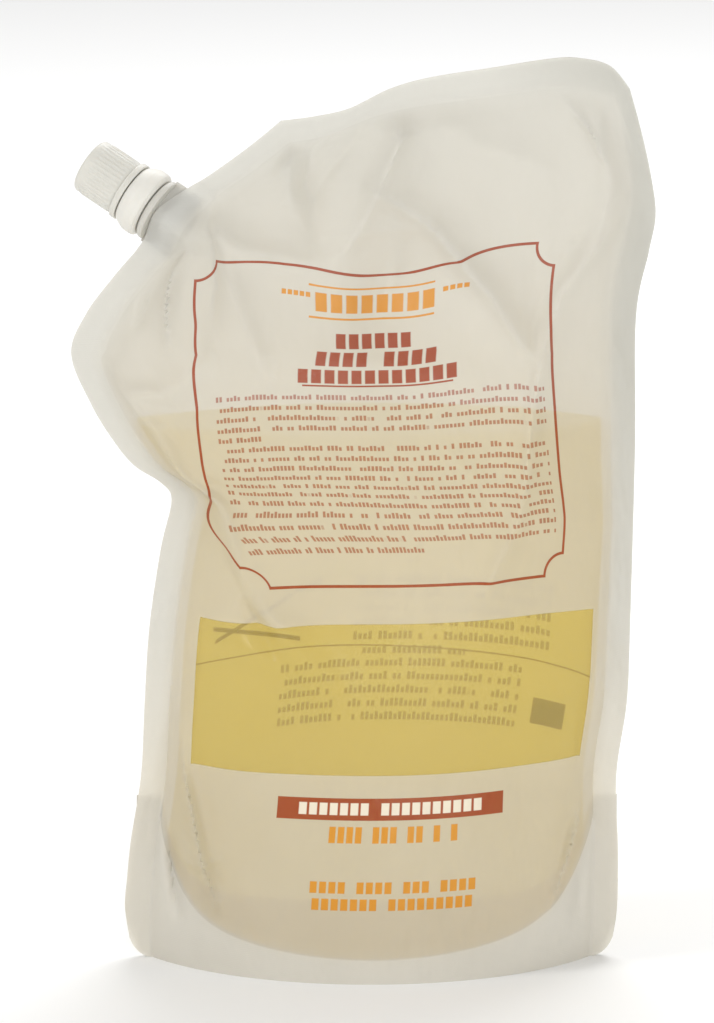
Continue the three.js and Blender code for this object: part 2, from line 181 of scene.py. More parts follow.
@dataclass
class Pouch:
    """The filled pouch's shape, shared by its webs, its gusset and the soap.

    A place on a web is (across, up): across from 0 at the left edge to 1 at the right, and up
    from 0 at the bottom edge to 1 at the top.

    Attributes:
        cut_run, cut_rise: how far the cut corner goes in and up on the flat web.
        seat: the (x, z) of the spout's foot on the film edge.
        spout_front: the way the spout points in the front view.
        spout_lean: the slope with which the spout corner leans back.
        lean_start, lean_bend: how far inside the seat the lean starts, and over how much it bends.
        left, right, top, bottom: the outline's edges, as (x, z).
        bulge: the depth of a web's arc at parts of its height.
        sag, sag_middle, sag_left, sag_right: how far the upper print hangs down, and where.
        fold_slip: how far the print slips sideways at heights on the web.
    """

    web_width: float = 183.0
    web_height: float = 275.0
    cut_run: float = 61.5
    cut_rise: float = 75.0
    side_seal: float = 9.5
    top_seal: float = 9.0
    gusset_depth: float = 50.0
    corner_radius: float = 11.0
    seat: Point = (-62.85, 227.25)
    spout_front: Point = (-0.853, 0.522)
    spout_lean: float = 0.346
    lean_start: float = 38.0
    lean_bend: float = 24.0
    ply: float = 0.3
    left: Curve = field(default_factory=lambda: Curve([
        (-74, 0), (-74.5, 12), (-73, 33), (-69.5, 56), (-68.3, 79), (-66.8, 102),
        (-63.3, 126), (-60, 141), (-63.2, 146.4), (-71, 151.5), (-77, 158.5), (-84, 169.5),
        (-90, 184), (-85.6, 196), (-77.2, 207.5), (-68.78, 217.54), (-66.04, 222.02),
        (-63, 226.9), (-59.79, 230.51), (-55.6, 234.1), (-47.6, 239.4), (-36.2, 248),
        (-26.8, 256),
    ]))
    right: Curve = field(default_factory=lambda: Curve([
        (74.2, 0), (74.7, 12), (74.8, 33), (74.2, 56), (77.3, 79), (78.2, 104), (79.4, 158),
        (79.5, 197), (83.3, 217), (85.2, 228), (83.7, 240), (80.7, 253.6), (77.3, 266),
    ]))
    top: Curve = field(default_factory=lambda: Curve([
        (-26.8, 256), (-16, 257.8), (-6.3, 260.3), (5.7, 266.2), (17.7, 269.6),
        (35.5, 272.4), (53.4, 275.2), (62, 275.4), (71.3, 273), (77.3, 266),
    ]))
    bottom: Curve = field(default_factory=lambda: Curve([(-74, 0), (74.2, 0)]))
    bulge: Curve = field(default_factory=lambda: Curve([
        (0, 36), (0.08, 38), (0.16, 38.5), (0.3, 36.5), (0.42, 33), (0.54, 28), (0.66, 20.5),
        (0.78, 12), (0.88, 5.5), (0.967, 0), (1, 0),
    ]))
    sag: float = 10.0
    sag_middle: float = 11.0
    sag_left: float = 30.0
    sag_right: float = 22.0
    print_tilt: float = 0.052
    fold_slip: Curve = field(default_factory=lambda: Curve([
        (0, 0), (110, 0), (119, 0), (130, -10), (141, -19), (160, -9.9), (177, -3), (200, 5.5),
        (216, 6.3), (275, 6.3),
    ]))
    creases: dict[Side, Sequence[Crease]] = field(
        default_factory=lambda: {Side.FRONT: (), Side.BACK: ()})

    # -- the flat web

    @property
    def side_run(self) -> float:
        """The height of the web's left edge, below the cut corner."""
        return self.web_height - self.cut_rise

    @property
    def cut_length(self) -> float:
        """The length of the cut corner."""
        return math.hypot(self.cut_run, self.cut_rise)

    @property
    def left_run(self) -> float:
        """The length of the left edge and the cut corner together."""
        return self.side_run + self.cut_length

    @property
    def spout_way(self) -> np.ndarray:
        """The spout's direction in the pack's front view, of length 1."""
        return np.array(self.spout_front) / math.hypot(*self.spout_front)

    def cut_part(self, along: np.ndarray) -> np.ndarray:
        """The part of the cut corner that a distance along the left edge has passed."""
        return np.clip((along - self.side_run) / self.cut_length, 0, 1)

    def width_at(self, up: np.ndarray) -> np.ndarray:
        """The flat web's width at a height."""
        return self.web_width - self.cut_run * self.cut_part(up * self.left_run)

    def flat(self, across: np.ndarray, up: np.ndarray) -> np.ndarray:
        """Where a place lies on the flat web, as (u, v) from the middle of its bottom edge."""
        half = self.web_width / 2
        along = up * self.left_run
        cut = self.cut_part(along)
        left_u = -half + self.cut_run * cut
        left_v = np.minimum(along, self.side_run) + self.cut_rise * cut
        right_v = up * self.web_height
        return np.stack([lerp(left_u, half, across), lerp(left_v, right_v, across)], axis=-1)

    def from_edge(self, flat: np.ndarray) -> np.ndarray:
        """How far a place on the flat web is inside the nearest sealed edge."""
        u, v = flat[..., 0], flat[..., 1]
        half = self.web_width / 2
        corner = ((u + half) * self.cut_rise - (v - self.side_run) * self.cut_run) / self.cut_length
        sides = np.minimum(u + half, half - u)
        return np.minimum(np.minimum(sides, corner), self.web_height - v)

    def printed(self, flat: np.ndarray) -> np.ndarray:
        """Where a place lies on the print, which the film's folds pull out of true.

        The upper print hangs down at its middle, leans a little and slips under the fold at
        the spout corner.
        """
        u, v = flat[..., 0], flat[..., 1]
        reach = np.where(u < self.sag_middle, self.sag_left, self.sag_right)
        sag = np.exp(-(((u - self.sag_middle) / reach) ** 2))
        sag = sag * self.sag * np.clip((v - 150.0) / 62.0, 0, 1) ** 2
        tilt = self.print_tilt * u * smoothstep((v - 125.0) / 35.0)
        frame_right, frame_width = 61.5, 116.0
        slip = self.fold_slip.height(v) * np.maximum(frame_right - u, 0) / frame_width
        return np.stack([u - slip, v + sag + tilt], axis=-1)

    # -- the filled shape

    def outline(self, across: np.ndarray, up: np.ndarray) -> np.ndarray:
        """The (x, z) of a place, filled in from the four edges of the pack's outline."""
        a, b = across[..., None], up[..., None]
        sides = lerp(self.left.at(up), self.right.at(up), a)
        ends = lerp(self.bottom.at(across), self.top.at(across), b)
        low = lerp(self.left.at(0.0), self.right.at(0.0), a)
        high = lerp(self.left.at(1.0), self.right.at(1.0), a)
        return sides + ends - lerp(low, high, b)

    def seal_part(self, up: np.ndarray) -> np.ndarray:
        """The part of the web's width that a side seal takes."""
        return self.side_seal / self.width_at(up)

    def between(self, across: np.ndarray, up: np.ndarray) -> np.ndarray:
        """Where a place lies between the side seals: -1 and 1 at their inner edges."""
        return (2 * across - 1) / (1 - 2 * self.seal_part(up))

    def arc_depth(self, across: np.ndarray, up: np.ndarray) -> np.ndarray:
        """How far a web stands out, as a circular arc between the side seals."""
        top_start = 1 - self.top_seal / self.web_height
        depth = np.where(up < top_start, np.maximum(self.bulge.height(up), 0.0), 0.0)
        depth = np.maximum(depth, 1e-4)
        place = np.clip(self.between(across, up), -1.0, 1.0)
        seal = self.seal_part(up)
        half = np.linalg.norm(self.outline(seal, up) - self.outline(1 - seal, up), axis=-1) / 2
        radius = (half**2 + depth**2) / (2 * depth)
        reach = half * place
        return (half**2 - reach**2) / (np.sqrt(np.maximum(radius**2 - reach**2, 0)) + radius - depth)

    def from_seat(self, point: np.ndarray) -> tuple[np.ndarray, np.ndarray]:
        """Distances from the spout's seat, along its axis and along the film edge."""
        front = self.spout_way
        side = np.array([front[1], -front[0]])
        offset = point - np.array(self.seat)
        return offset @ front, offset @ side

    def lean(self, point: np.ndarray) -> np.ndarray:
        """How far back the spout corner leans."""
        inside = np.maximum(self.from_seat(point)[0] + self.lean_start, 0)
        bent = np.minimum(inside, self.lean_bend)
        straight = np.maximum(inside - self.lean_bend, 0)
        return self.spout_lean * (bent**2 / (2 * self.lean_bend) + straight)

    def lean_normal(self, point: np.ndarray) -> np.ndarray:
        """The middle surface's normal, which faces the back."""
        inside = np.maximum(self.from_seat(point)[0] + self.lean_start, 0)
        slope = self.spout_lean * np.minimum(inside, self.lean_bend) / self.lean_bend
        front = self.spout_way
        normal = np.stack([-slope * front[0], np.ones_like(slope), -slope * front[1]], axis=-1)
        return normal / np.linalg.norm(normal, axis=-1, keepdims=True)

    def seat_stand_off(self, point: np.ndarray) -> np.ndarray:
        """How far a web stands off to pass round the spout's boat-shaped base."""
        boat_half, boat_tip, boat_length, boat_depth, slack = 6.0, 0.4, 10.5, 9.5, 0.7
        out, side = self.from_seat(point)
        crown = np.cos(np.pi / 2 * np.clip(np.abs(side) / boat_length, 0, 1)) ** 2
        around = boat_tip + (boat_half - boat_tip) * crown + slack
        end_fade = 1 - smoothstep((np.abs(side) - boat_length - 1) / 4)
        inner_fade = 1 - smoothstep((-out - boat_depth - 1.5) / 26)
        return around * end_fade * inner_fade

    def corner_rise(self, across: np.ndarray, up: np.ndarray) -> np.ndarray:
        """How far the rounded bottom corners lift the web's edge."""
        seal = 2 * self.seal_part(up)
        outside = np.clip((np.abs(2 * across - 1) - 1 + seal) / seal, 0, 1)
        fade = np.clip(1 - up * self.web_height / (2 * self.corner_radius), 0, 1)
        return self.corner_radius * (1 - np.sqrt(1 - outside**2)) * fade

    def crease_lift(self, side: Side, flat: np.ndarray) -> np.ndarray:
        """The lift of all of a web's creases, fading out at its seals."""
        inside = smoothstep((self.from_edge(flat) - self.side_seal) / 9.0)
        low = smoothstep((flat[..., 1] - 4.0) / 14.0)
        lifts = (crease.lift(flat) for crease in self.creases[side])
        return sum(lifts, np.zeros(flat.shape[:-1])) * inside * low

    def web(self, side: Side, across: np.ndarray, up: np.ndarray) -> np.ndarray:
        """The middle of a web's thickness, in millimetres.

        Args:
            side: which web.
            across: places from the left edge to the right.
            up: places from the bottom edge to the top.

        Returns:
            An array of (x, y, z).
        """
        point = self.outline(across, up)
        beside_gusset = 1 - smoothstep((up - self.gusset_depth / self.web_height) / 0.03)
        seal_gap = self.ply + 2 * self.ply * beside_gusset
        arc = self.arc_depth(across, up)
        lift = self.crease_lift(side, self.flat(across, up))
        depth = np.maximum(np.maximum(arc + lift, 0.0) + seal_gap, self.seat_stand_off(point))
        middle = np.stack([point[..., 0], self.lean(point), point[..., 1]], axis=-1)
        placed = middle + side.value * depth[..., None] * self.lean_normal(point)
        placed[..., 2] += self.corner_rise(across, up)
        return placed


# ---------------------------------------------------------------- mesh helpers


def select_only(*objects: bpy.types.Object) -> None:
    """Selects just these objects and makes the first one active."""
    for other in bpy.context.view_layer.objects:
        other.select_set(other in objects)
    bpy.context.view_layer.objects.active = objects[0]


def apply_modifier(obj: bpy.types.Object, kind: str, **settings: object) -> None:
    """Adds a modifier with its settings and applies it.

    Args:
        obj: the piece.
        kind: the modifier's type, such as "SOLIDIFY".
        settings: what its properties are set to.
    """
    modifier = obj.modifiers.new(kind.lower(), kind)
    for name, value in settings.items():
        setattr(modifier, name, value)
    select_only(obj)
    bpy.ops.object.modifier_apply(modifier=modifier.name)


def shade_smooth(obj: bpy.types.Object, angle: float = 40.0) -> None:
    """Shades a piece smooth, apart from edges sharper than an angle in degrees."""
    select_only(obj)
    bpy.ops.object.shade_smooth_by_angle(angle=math.radians(angle))


def grid_faces(rows: int, columns: int, flip: bool, closed: bool = False) -> np.ndarray:
    """The corner numbers of a grid's quads.

    Args:
        rows: how many rows of points there are.
        columns: how many points are in a row.
        flip: True to turn the faces over.
        closed: True if the last row joins the first.

    Returns:
        An array of four corner numbers a face.
    """
    starts = np.arange(rows if closed else rows - 1)[:, None] * columns
    low = starts + np.arange(columns - 1)[None, :]
    high = (low + columns) % (rows * columns)
    quads = np.stack([low, low + 1, high + 1, high], axis=-1).reshape(-1, 4)
    return quads[:, ::-1] if flip else quads


def mesh_piece(name: str, points: np.ndarray, faces: list) -> bpy.types.Object:
    """Makes a mesh object from points in millimetres, in the pack's frame.

    Args:
        name: the piece's name.
        points: an array of (x, y, z).
        faces: corner numbers of each face.

    Returns:
        The new object, at the origin.
    """
    mesh = bpy.data.meshes.new(name)
    mesh.from_pydata((points.reshape(-1, 3) * MM).tolist(), [], faces)
    mesh.validate()
    obj = bpy.data.objects.new(name, mesh)
    bpy.context.collection.objects.link(obj)
    return obj


def add_map(obj: bpy.types.Object, name: str, places: np.ndarray) -> None:
    """Gives a piece a UV map of places in millimetres."""
    layer = obj.data.uv_layers.new(name=name)
    corners = np.empty(len(obj.data.loops), dtype=np.int32)
    obj.data.loops.foreach_get("vertex_index", corners)
    layer.data.foreach_set("uv", places.reshape(-1, 2)[corners].astype(np.float32).ravel())


def add_measure(obj: bpy.types.Object, name: str, values: np.ndarray) -> None:
    """Gives a piece a named number at each point."""
    attribute = obj.data.attributes.new(name, "FLOAT", "POINT")
    attribute.data.foreach_set("value", values.astype(np.float32).ravel())


# ---------------------------------------------------------------- shader helpers


class Value:
    """A shader socket that can be used in arithmetic."""

    def __init__(self, graph: "Graph", socket: bpy.types.NodeSocket) -> None:
        """Wraps a socket of a graph."""
        self.graph = graph
        self.socket = socket

    def _maths(self, operation: str, *others: object) -> "Value":
        """The result of a Math node on this value and others."""
        inputs = {k: other for k, other in enumerate((self, *others))}
        return self.graph.node("ShaderNodeMath", {"operation": operation}, inputs)

    def __add__(self, other: object) -> "Value":
        """The sum."""
        return self._maths("ADD", other)

    __radd__ = __add__

    def __sub__(self, other: object) -> "Value":
        """The difference."""
        return self._maths("SUBTRACT", other)

    def __rsub__(self, other: object) -> "Value":
        """The difference, the other way round."""
        return self.graph.node("ShaderNodeMath", {"operation": "SUBTRACT"}, {0: other, 1: self})

    def __mul__(self, other: object) -> "Value":
        """The product."""
        return self._maths("MULTIPLY", other)

    __rmul__ = __mul__

    def __truediv__(self, other: object) -> "Value":
        """The quotient."""
        return self._maths("DIVIDE", other)

    def __abs__(self) -> "Value":
        """The size without its sign."""
        return self._maths("ABSOLUTE")

    def floor(self) -> "Value":
        """The whole number below."""
        return self._maths("FLOOR")

    def fraction(self) -> "Value":
        """What is over the whole number below."""
        return self._maths("FRACT")

    def most(self, other: object) -> "Value":
        """The larger of two values."""
        return self._maths("MAXIMUM", other)

    def length(self, other: object) -> "Value":
        """The length of the vector made of two values."""
        return (self * self + other * other)._maths("SQRT")

    def over(self, edge: object, soft: float) -> "Value":
        """A mask: 1 where the value is over an edge, with a soft step."""
        return self.graph.node("ShaderNodeMath", {"operation": "DIVIDE", "use_clamp": True},
                               {0: self - edge + soft / 2, 1: soft})

    def under(self, edge: object, soft: float) -> "Value":
        """A mask: 1 where the value is under an edge, with a soft step."""
        return self.graph.node("ShaderNodeMath", {"operation": "DIVIDE", "use_clamp": True},
                               {0: edge + soft / 2 - self, 1: soft})

    def same(self, number: float) -> "Value":
        """A mask: 1 where the value is a whole number."""
        return self.graph.node("ShaderNodeMath", {"operation": "COMPARE"}, {0: self, 1: number, 2: 0.5})

    def within(self, low: float, high: float, soft: float = 0.2) -> "Value":
        """A mask: 1 where the value is between two edges."""
        return self.over(low, soft) * (1.0 - self.over(high, soft))


class Graph:
    """The nodes of one material."""

    def __init__(self, name: str) -> None:
        """Makes a material with a Principled shader."""
        self.material = bpy.data.materials.new(name)
        self.material.use_nodes = True
        self.tree = self.material.node_tree
        self.shader = self.tree.nodes["Principled BSDF"]

    def node(self, kind: str, settings: dict | None = None, inputs: dict | None = None,
             output: int | str = 0) -> Value:
        """Adds a node.

        Args:
            kind: the node's type.
            settings: its properties.
            inputs: values or links of its sockets, by name or number.
            output: which of its outputs is returned.

        Returns:
            The wrapped output.
        """
        made = self.tree.nodes.new(kind)
        for name, value in (settings or {}).items():
            setattr(made, name, value)
        for name, value in (inputs or {}).items():
            self.feed(made.inputs[name], value)
        return Value(self, made.outputs[output])

    def feed(self, socket: bpy.types.NodeSocket, value: object) -> None:
        """Links a wrapped value to a socket, or sets the socket to a plain value."""
        if isinstance(value, Value):
            self.tree.links.new(value.socket, socket)
        elif isinstance(value, tuple) and len(value) == 3 and len(socket.default_value) == 4:
            socket.default_value = (*value, 1.0)
        else:
            socket.default_value = value

    def set(self, **sockets: object) -> None:
        """Sets or links the shader's sockets, named with underscores for their spaces."""
        for name, value in sockets.items():
            self.feed(self.shader.inputs[name.replace("_", " ")], value)

    def let_light_through(self, colour: Colour, glow: Value | float, cover: Value,
                          tint: Colour = (1.0, 1.0, 1.0)) -> None:
        """Mixes the shader with light from behind, and with what shows through.

        Args:
            colour: the colour of the light from behind.
            glow: the share of the light that comes from behind.
            cover: how much of what is behind the surface it hides.
            tint: the colour that what shows through takes on.
        """
        lit = Value(self, self.shader.outputs[0])
        behind = self.node("ShaderNodeBsdfTranslucent", None, {"Color": colour})
        lit = self.node("ShaderNodeMixShader", None, {0: glow, 1: lit, 2: behind})
        through = self.node("ShaderNodeBsdfTransparent", None, {"Color": tint})
        shown = self.node("ShaderNodeMixShader", None, {0: cover, 1: through, 2: lit})
        surface = self.tree.nodes["Material Output"].inputs["Surface"]
        self.tree.links.new(shown.socket, surface)

    def blend(self, factor: object, low: object, high: object) -> Value:
        """The mix of two colours."""
        return self.node("ShaderNodeMix", {"data_type": "RGBA"}, {0: factor, 6: low, 7: high}, 2)

    def noise(self, vector: Value, scale: float, detail: float = 2.0, rough: float = 0.5) -> Value:
        """A noise texture's value, from 0 to 1."""
        return self.node("ShaderNodeTexNoise", {"normalize": True},
                         {"Vector": vector, "Scale": scale, "Detail": detail, "Roughness": rough})

    def chance(self, across: Value, down: Value) -> Value:
        """A random number from 0 to 1 for each pair of whole numbers."""
        spot = self.node("ShaderNodeCombineXYZ", None, {0: across, 1: down})
        return self.node("ShaderNodeTexWhiteNoise", {"noise_dimensions": "2D"}, {"Vector": spot})

    def place(self) -> Value:
        """The place on the piece, in metres."""
        return self.node("ShaderNodeTexCoord", output="Object")

    def scaled(self, vector: Value, scale: tuple[float, float, float]) -> Value:
        """A vector with each of its parts multiplied."""
        return self.node("ShaderNodeVectorMath", {"operation": "MULTIPLY"}, {0: vector, 1: scale})

    def map_place(self, name: str) -> tuple[Value, Value, Value]:
        """The place on a UV map as a vector, and its u and v, in millimetres."""
        vector = self.node("ShaderNodeUVMap", {"uv_map": name})
        split = self.node("ShaderNodeSeparateXYZ", None, {0: vector})
        return vector, split, Value(self, split.socket.node.outputs[1])

    def measure(self, name: str) -> Value:
        """A named number of the piece's points."""
        return self.node("ShaderNodeAttribute", {"attribute_name": name}, output="Fac")

    def bump(self, height: Value, distance: float) -> Value:
        """A normal that is tilted by a height pattern."""
        return self.node("ShaderNodeBump", None,
                         {"Height": height, "Distance": distance, "Strength": 1.0})


# ---------------------------------------------------------------- print


class Ink(Enum):
    """The print's colours, as linear red, green and blue."""

    RED_BROWN = (0.32, 0.048, 0.010)
    ORANGE = (0.66, 0.27, 0.022)
    CREAM = (0.80, 0.72, 0.58)
    BROWN = (0.30, 0.13, 0.02)


@dataclass(frozen=True)
class Bar:
    """A solid bar of print, tilted by a slope, on the flat web in millimetres."""

    u: float
    v: float
    width: float
    height: float
    slope: float = 0.0

    def mask(self, u: Value, v: Value) -> Value:
        """A mask of the bar."""
        rise = v - (u - self.u) * self.slope if self.slope else v
        across = abs(u - self.u).over(self.width / 2, 0.15)
        up = abs(rise - self.v).over(self.height / 2, 0.15)
        return (1.0 - across) * (1.0 - up)


@dataclass(frozen=True)
class Blocks:
    """A row of equal blocks that stands for a line of capitals.

    Attributes:
        u: the row's middle.
        v: its middle height.
        width: its width.
        height: the blocks' height.
        count: how many places the row has.
        empty: the places without a block.
    """

    u: float
    v: float
    width: float
    height: float
    count: int
    empty: tuple[int, ...] = ()

    def mask(self, u: Value, v: Value) -> Value:
        """A mask of the blocks."""
        across = (u - (self.u - self.width / 2)) * (self.count / self.width)
        place = across.floor()
        shown = 1.0 - abs(v - self.v).over(self.height / 2, 0.2)
        shown = shown * abs(across.fraction() - 0.5).under(0.38, 0.08)
        shown = shown * abs(place - (self.count - 1) / 2).under(self.count / 2, HARD)
        for number in self.empty:
            shown = shown * (1.0 - place.same(number))
        return shown


@dataclass(frozen=True)
class Words:
    """Rows of small blocks that stand for small print, with gaps between groups of them.

    Attributes:
        u: the middle of the rows.
        top: the height of the first row's middle.
        width: the rows' width.
        rows: how many rows there are.
        pitch: from one row to the next.
        height: the tallest blocks' height.
        block: from one block to the next.
        gaps: the part of the blocks left out, as gaps.
        short: rows that end early: (row, part of the width left out).
        ink: how solid the blocks are.
    """

    u: float
    top: float
    width: float
    rows: int
    pitch: float
    height: float
    block: float = 1.25
    gaps: float = 0.17
    short: tuple[tuple[int, float], ...] = ()
    ink: float = 0.85

    def mask(self, u: Value, v: Value) -> Value:
        """A mask of the blocks."""
        across = (u - (self.u - self.width / 2)) / self.block
        down = (self.top + self.pitch / 2 - v) / self.pitch
        row = down.floor()
        chance = u.graph.chance(across.floor(), row)
        rise = (0.5 - down.fraction()) * (self.pitch / self.height) + 0.5
        tall = 0.72 + 0.28 * chance.over(0.66, HARD)
        body = abs(rise - tall / 2).under(tall / 2, 0.25 / self.height)
        stroke = abs(across.fraction() - 0.5).under(0.36, 0.16)
        cells = self.width / self.block
        length = cells
        for number, part in self.short:
            length = length - row.same(number) * (part * cells)
        area = abs(across - length / 2).under(length / 2, HARD)
        area = area * abs(down - self.rows / 2).under(self.rows / 2, HARD)
        return body * stroke * chance.over(self.gaps, HARD) * area * self.ink


@dataclass(frozen=True)
class NotchedFrame:
    """A thin line round a rectangle with round notches in its corners."""

    u: float
    v: float
    width: float
    height: float
    notch: float
    line: float

    def mask(self, u: Value, v: Value) -> Value:
        """A mask of the line."""
        past_side = abs(u - self.u) - self.width / 2
        past_end = abs(v - self.v) - self.height / 2
        corner = self.notch - past_side.length(past_end)
        edge = past_side.most(past_end).most(corner)
        return 1.0 - abs(edge).over(self.line / 2, 0.12)


# ---------------------------------------------------------------- finishes


@dataclass(frozen=True)
class Zone:
    """A level strip of a film with a material of its own.

    Attributes:
        bottom: the height of its lower edge on the print, in millimetres.
        prints: what is printed on it, with the inks, each over the ones before.
        strip: whether the clear strip is in it.
    """

    bottom: float
    prints: tuple[tuple[Bar | Blocks | Words | NotchedFrame, Ink], ...] = ()
    strip: bool = False


@dataclass(frozen=True)
class Film:
    """Frosted printed film, which glows with the light behind it.

    Attributes:
        milk, high_milk: the frosting's colour over the soap, and in the empty part above it.
        low_seal, high_seal: the seals' colour at the foot and higher up.
        right_seal_shade: a darker seal colour, painted shade on the upper right-hand edge.
        cover: how much of what is behind each face of the frosting hides.
        seal_cover: the same, where the webs are sealed together.
        clear, strip_colour: the cover and the colour of the clear strip.
        window: the clear strip's left, right, bottom and top on the flat web, or None.
        glow: the share of the light that passes through the frosting.
        zones: the film's zones, from the bottom up.
        thickness: the sheet's thickness in millimetres.
        ink_cover, ink_shade: how much of what is behind it, and of the glow, ink takes away.
    """

    name: str
    milk: Colour = (0.735, 0.700, 0.615)
    high_milk: Colour = (0.705, 0.695, 0.645)
    low_seal: Colour = (0.90, 0.865, 0.775)
    high_seal: Colour = (0.77, 0.77, 0.735)
    right_seal_shade: Colour = (0.585, 0.590, 0.555)
    strip_colour: Colour = (0.62, 0.56, 0.36)
    cover: float = 0.80
    seal_cover: float = 0.92
    clear: float = 0.06
    window: tuple[float, float, float, float] | None = None
    glow: float = 0.35
    zones: tuple[Zone, ...] = (Zone(0.0),)
    thickness: float = 0.16
    ink_cover: float = 0.93
    ink_shade: float = 0.95

    def material(self, zone: Zone) -> bpy.types.Material:
        """Makes the material of one of the film's zones."""
        graph = Graph(self.name)
        flat, flat_u, flat_v = graph.map_place("flat")
        _, u, v = graph.map_place("print")
        place = graph.place()
        from_seal = graph.measure("from_seal")
        # The seal shows as a sharp line low on the pack, and fades softly into the film above.
        low = 1.0 - flat_v.over(60.0, 12.0)
        edge = 1.0 - from_seal.over(0.0, 0.6)
        fading = 1.0 - from_seal.over(0.5, 9.0)
        seal = edge * (0.25 + 0.55 * low) + fading * (0.75 - 0.55 * low)
        cloud = graph.noise(place, 14.0, 3.0, 0.6)
        colour = graph.blend(cloud, scaled(self.milk, 0.95), scaled(self.milk, 1.05))
        colour = graph.blend(flat_v.over(220.0, 90.0), colour, self.high_milk)
        sealed = graph.blend(flat_v.over(75.0, 60.0), self.low_seal, self.high_seal)
        # Painted shade: the upper right-hand seal is blended to a darker colour, as if less light falls
        # there.
        painted_right_shade = flat_u.over(60.0, 40.0) * flat_v.over(130.0, 120.0)
        sealed = graph.blend(painted_right_shade, sealed, self.right_seal_shade)
        colour = graph.blend(seal * 0.85, colour, sealed)
        cover = self.cover + 0.10 * (cloud - 0.5)
        cover = cover + seal * (self.seal_cover - self.cover)
        rough = 0.40 + 0.14 * cloud
        if zone.strip:
            clear = self._clear(flat_u, flat_v)
            cover = cover * (1.0 - clear) + clear * self.clear
            colour = graph.blend(clear * 0.9, colour, self.strip_colour)
            rough = rough - clear * 0.26
        glow = self.glow
        for shape, ink in zone.prints:
            pattern = shape.mask(u, v)
            colour = graph.blend(pattern, colour, ink.value)
            glow = glow * (1.0 - pattern * self.ink_shade)
            cover = cover.most(pattern * self.ink_cover)
        graph.set(Base_Color=colour, Roughness=rough, IOR=1.48, Specular_IOR_Level=0.4,
                  Normal=self._relief(graph, flat, place, edge))
        graph.let_light_through(self.milk, glow, cover)
        return graph.material

    def lining(self) -> bpy.types.Material:
        """The film's inner face: the clear layer that seals."""
        graph = Graph(self.name + "_lining")
        cloud = graph.noise(graph.place(), 30.0, 1.0)
        graph.set(Base_Color=self.milk, Roughness=0.25 + 0.2 * cloud, Alpha=0.05 + 0.04 * cloud)
        return graph.material

    def dress(self, obj: bpy.types.Object, height: np.ndarray | None = None) -> None:
        """Gives a sheet its thickness, its zones' materials outside and the lining inside.

        Args:
            obj: the sheet.
            height: each face's height on the print. None puts all faces in the first zone.
        """
        for zone in self.zones:
            obj.data.materials.append(self.material(zone))
        lining = self.lining()
        for _ in self.zones:
            obj.data.materials.append(lining)
        if height is not None:
            bottoms = [zone.bottom for zone in self.zones[1:]]
            numbers = np.searchsorted(bottoms, height).astype(np.int32)
            obj.data.polygons.foreach_set("material_index", numbers)
        apply_modifier(obj, "SOLIDIFY", thickness=self.thickness * MM, offset=0.0, use_rim=True,
                       material_offset=len(self.zones))
        shade_smooth(obj, 60.0)

    def _clear(self, u: Value, v: Value) -> Value:
        """A mask of the clear strip."""
        left, right, bottom, top = self.window
        return u.within(left, right, 0.25) * v.within(bottom, top, 0.25)

    @staticmethod
    def _relief(graph: Graph, flat: Value, place: Value, seal: Value) -> Value:
        """The film's fine creases and the grain of its frosting."""
        crumple = graph.noise(graph.scaled(flat, (0.05, 0.03, 0.0)), 1.0, 3.0, 0.55)
        grain = graph.noise(place, 2600.0, 1.0)
        ribs = graph.node("ShaderNodeTexWave", {"bands_direction": "Y"},
                          {"Vector": flat, "Scale": 0.55})
        height = crumple * 1.5 + grain * 0.015 + seal * ribs * 0.012
        return graph.bump(height, 0.0016)


@dataclass(frozen=True)
class Moulded:
    """Satin moulded polyethylene, slightly uneven."""

    name: str
    colour: Colour
    rough: float = 0.38

    def material(self) -> bpy.types.Material:
        """Makes the plastic's material."""
        graph = Graph(self.name)
        place = graph.place()
        cloud = graph.noise(place, 90.0, 3.0)
        colour = graph.blend(cloud, scaled(self.colour, 0.93), self.colour)
        grain = graph.noise(place, 3500.0, 2.0)
        graph.set(Base_Color=colour, Roughness=self.rough + 0.12 * cloud, IOR=1.5,
                  Subsurface_Weight=0.25, Subsurface_Radius=(0.004, 0.0035, 0.003),
                  Subsurface_Scale=0.6, Normal=graph.bump(grain, 0.00006))
        return graph.material


@dataclass(frozen=True)
class Soap:
    """Clear pale yellow liquid."""

    colour: Colour = (0.95, 0.765, 0.16)
    cover: float = 0.20
    glow: float = 0.4
    tint: Colour = (1.0, 0.90, 0.50)

    def material(self) -> bpy.types.Material:
        """Makes the soap's material."""
        graph = Graph("soap")
        place = graph.place()
        cloud = graph.noise(place, 9.0, 2.0)
        colour = graph.blend(cloud, self.colour, scaled(self.colour, 1.12))
        graph.set(Base_Color=colour, Roughness=0.06 + 0.03 * cloud, IOR=1.36)
        graph.let_light_through(self.colour, self.glow, self.cover + 0.06 * cloud, self.tint)
        return graph.material


# ---------------------------------------------------------------- the pouch's pieces


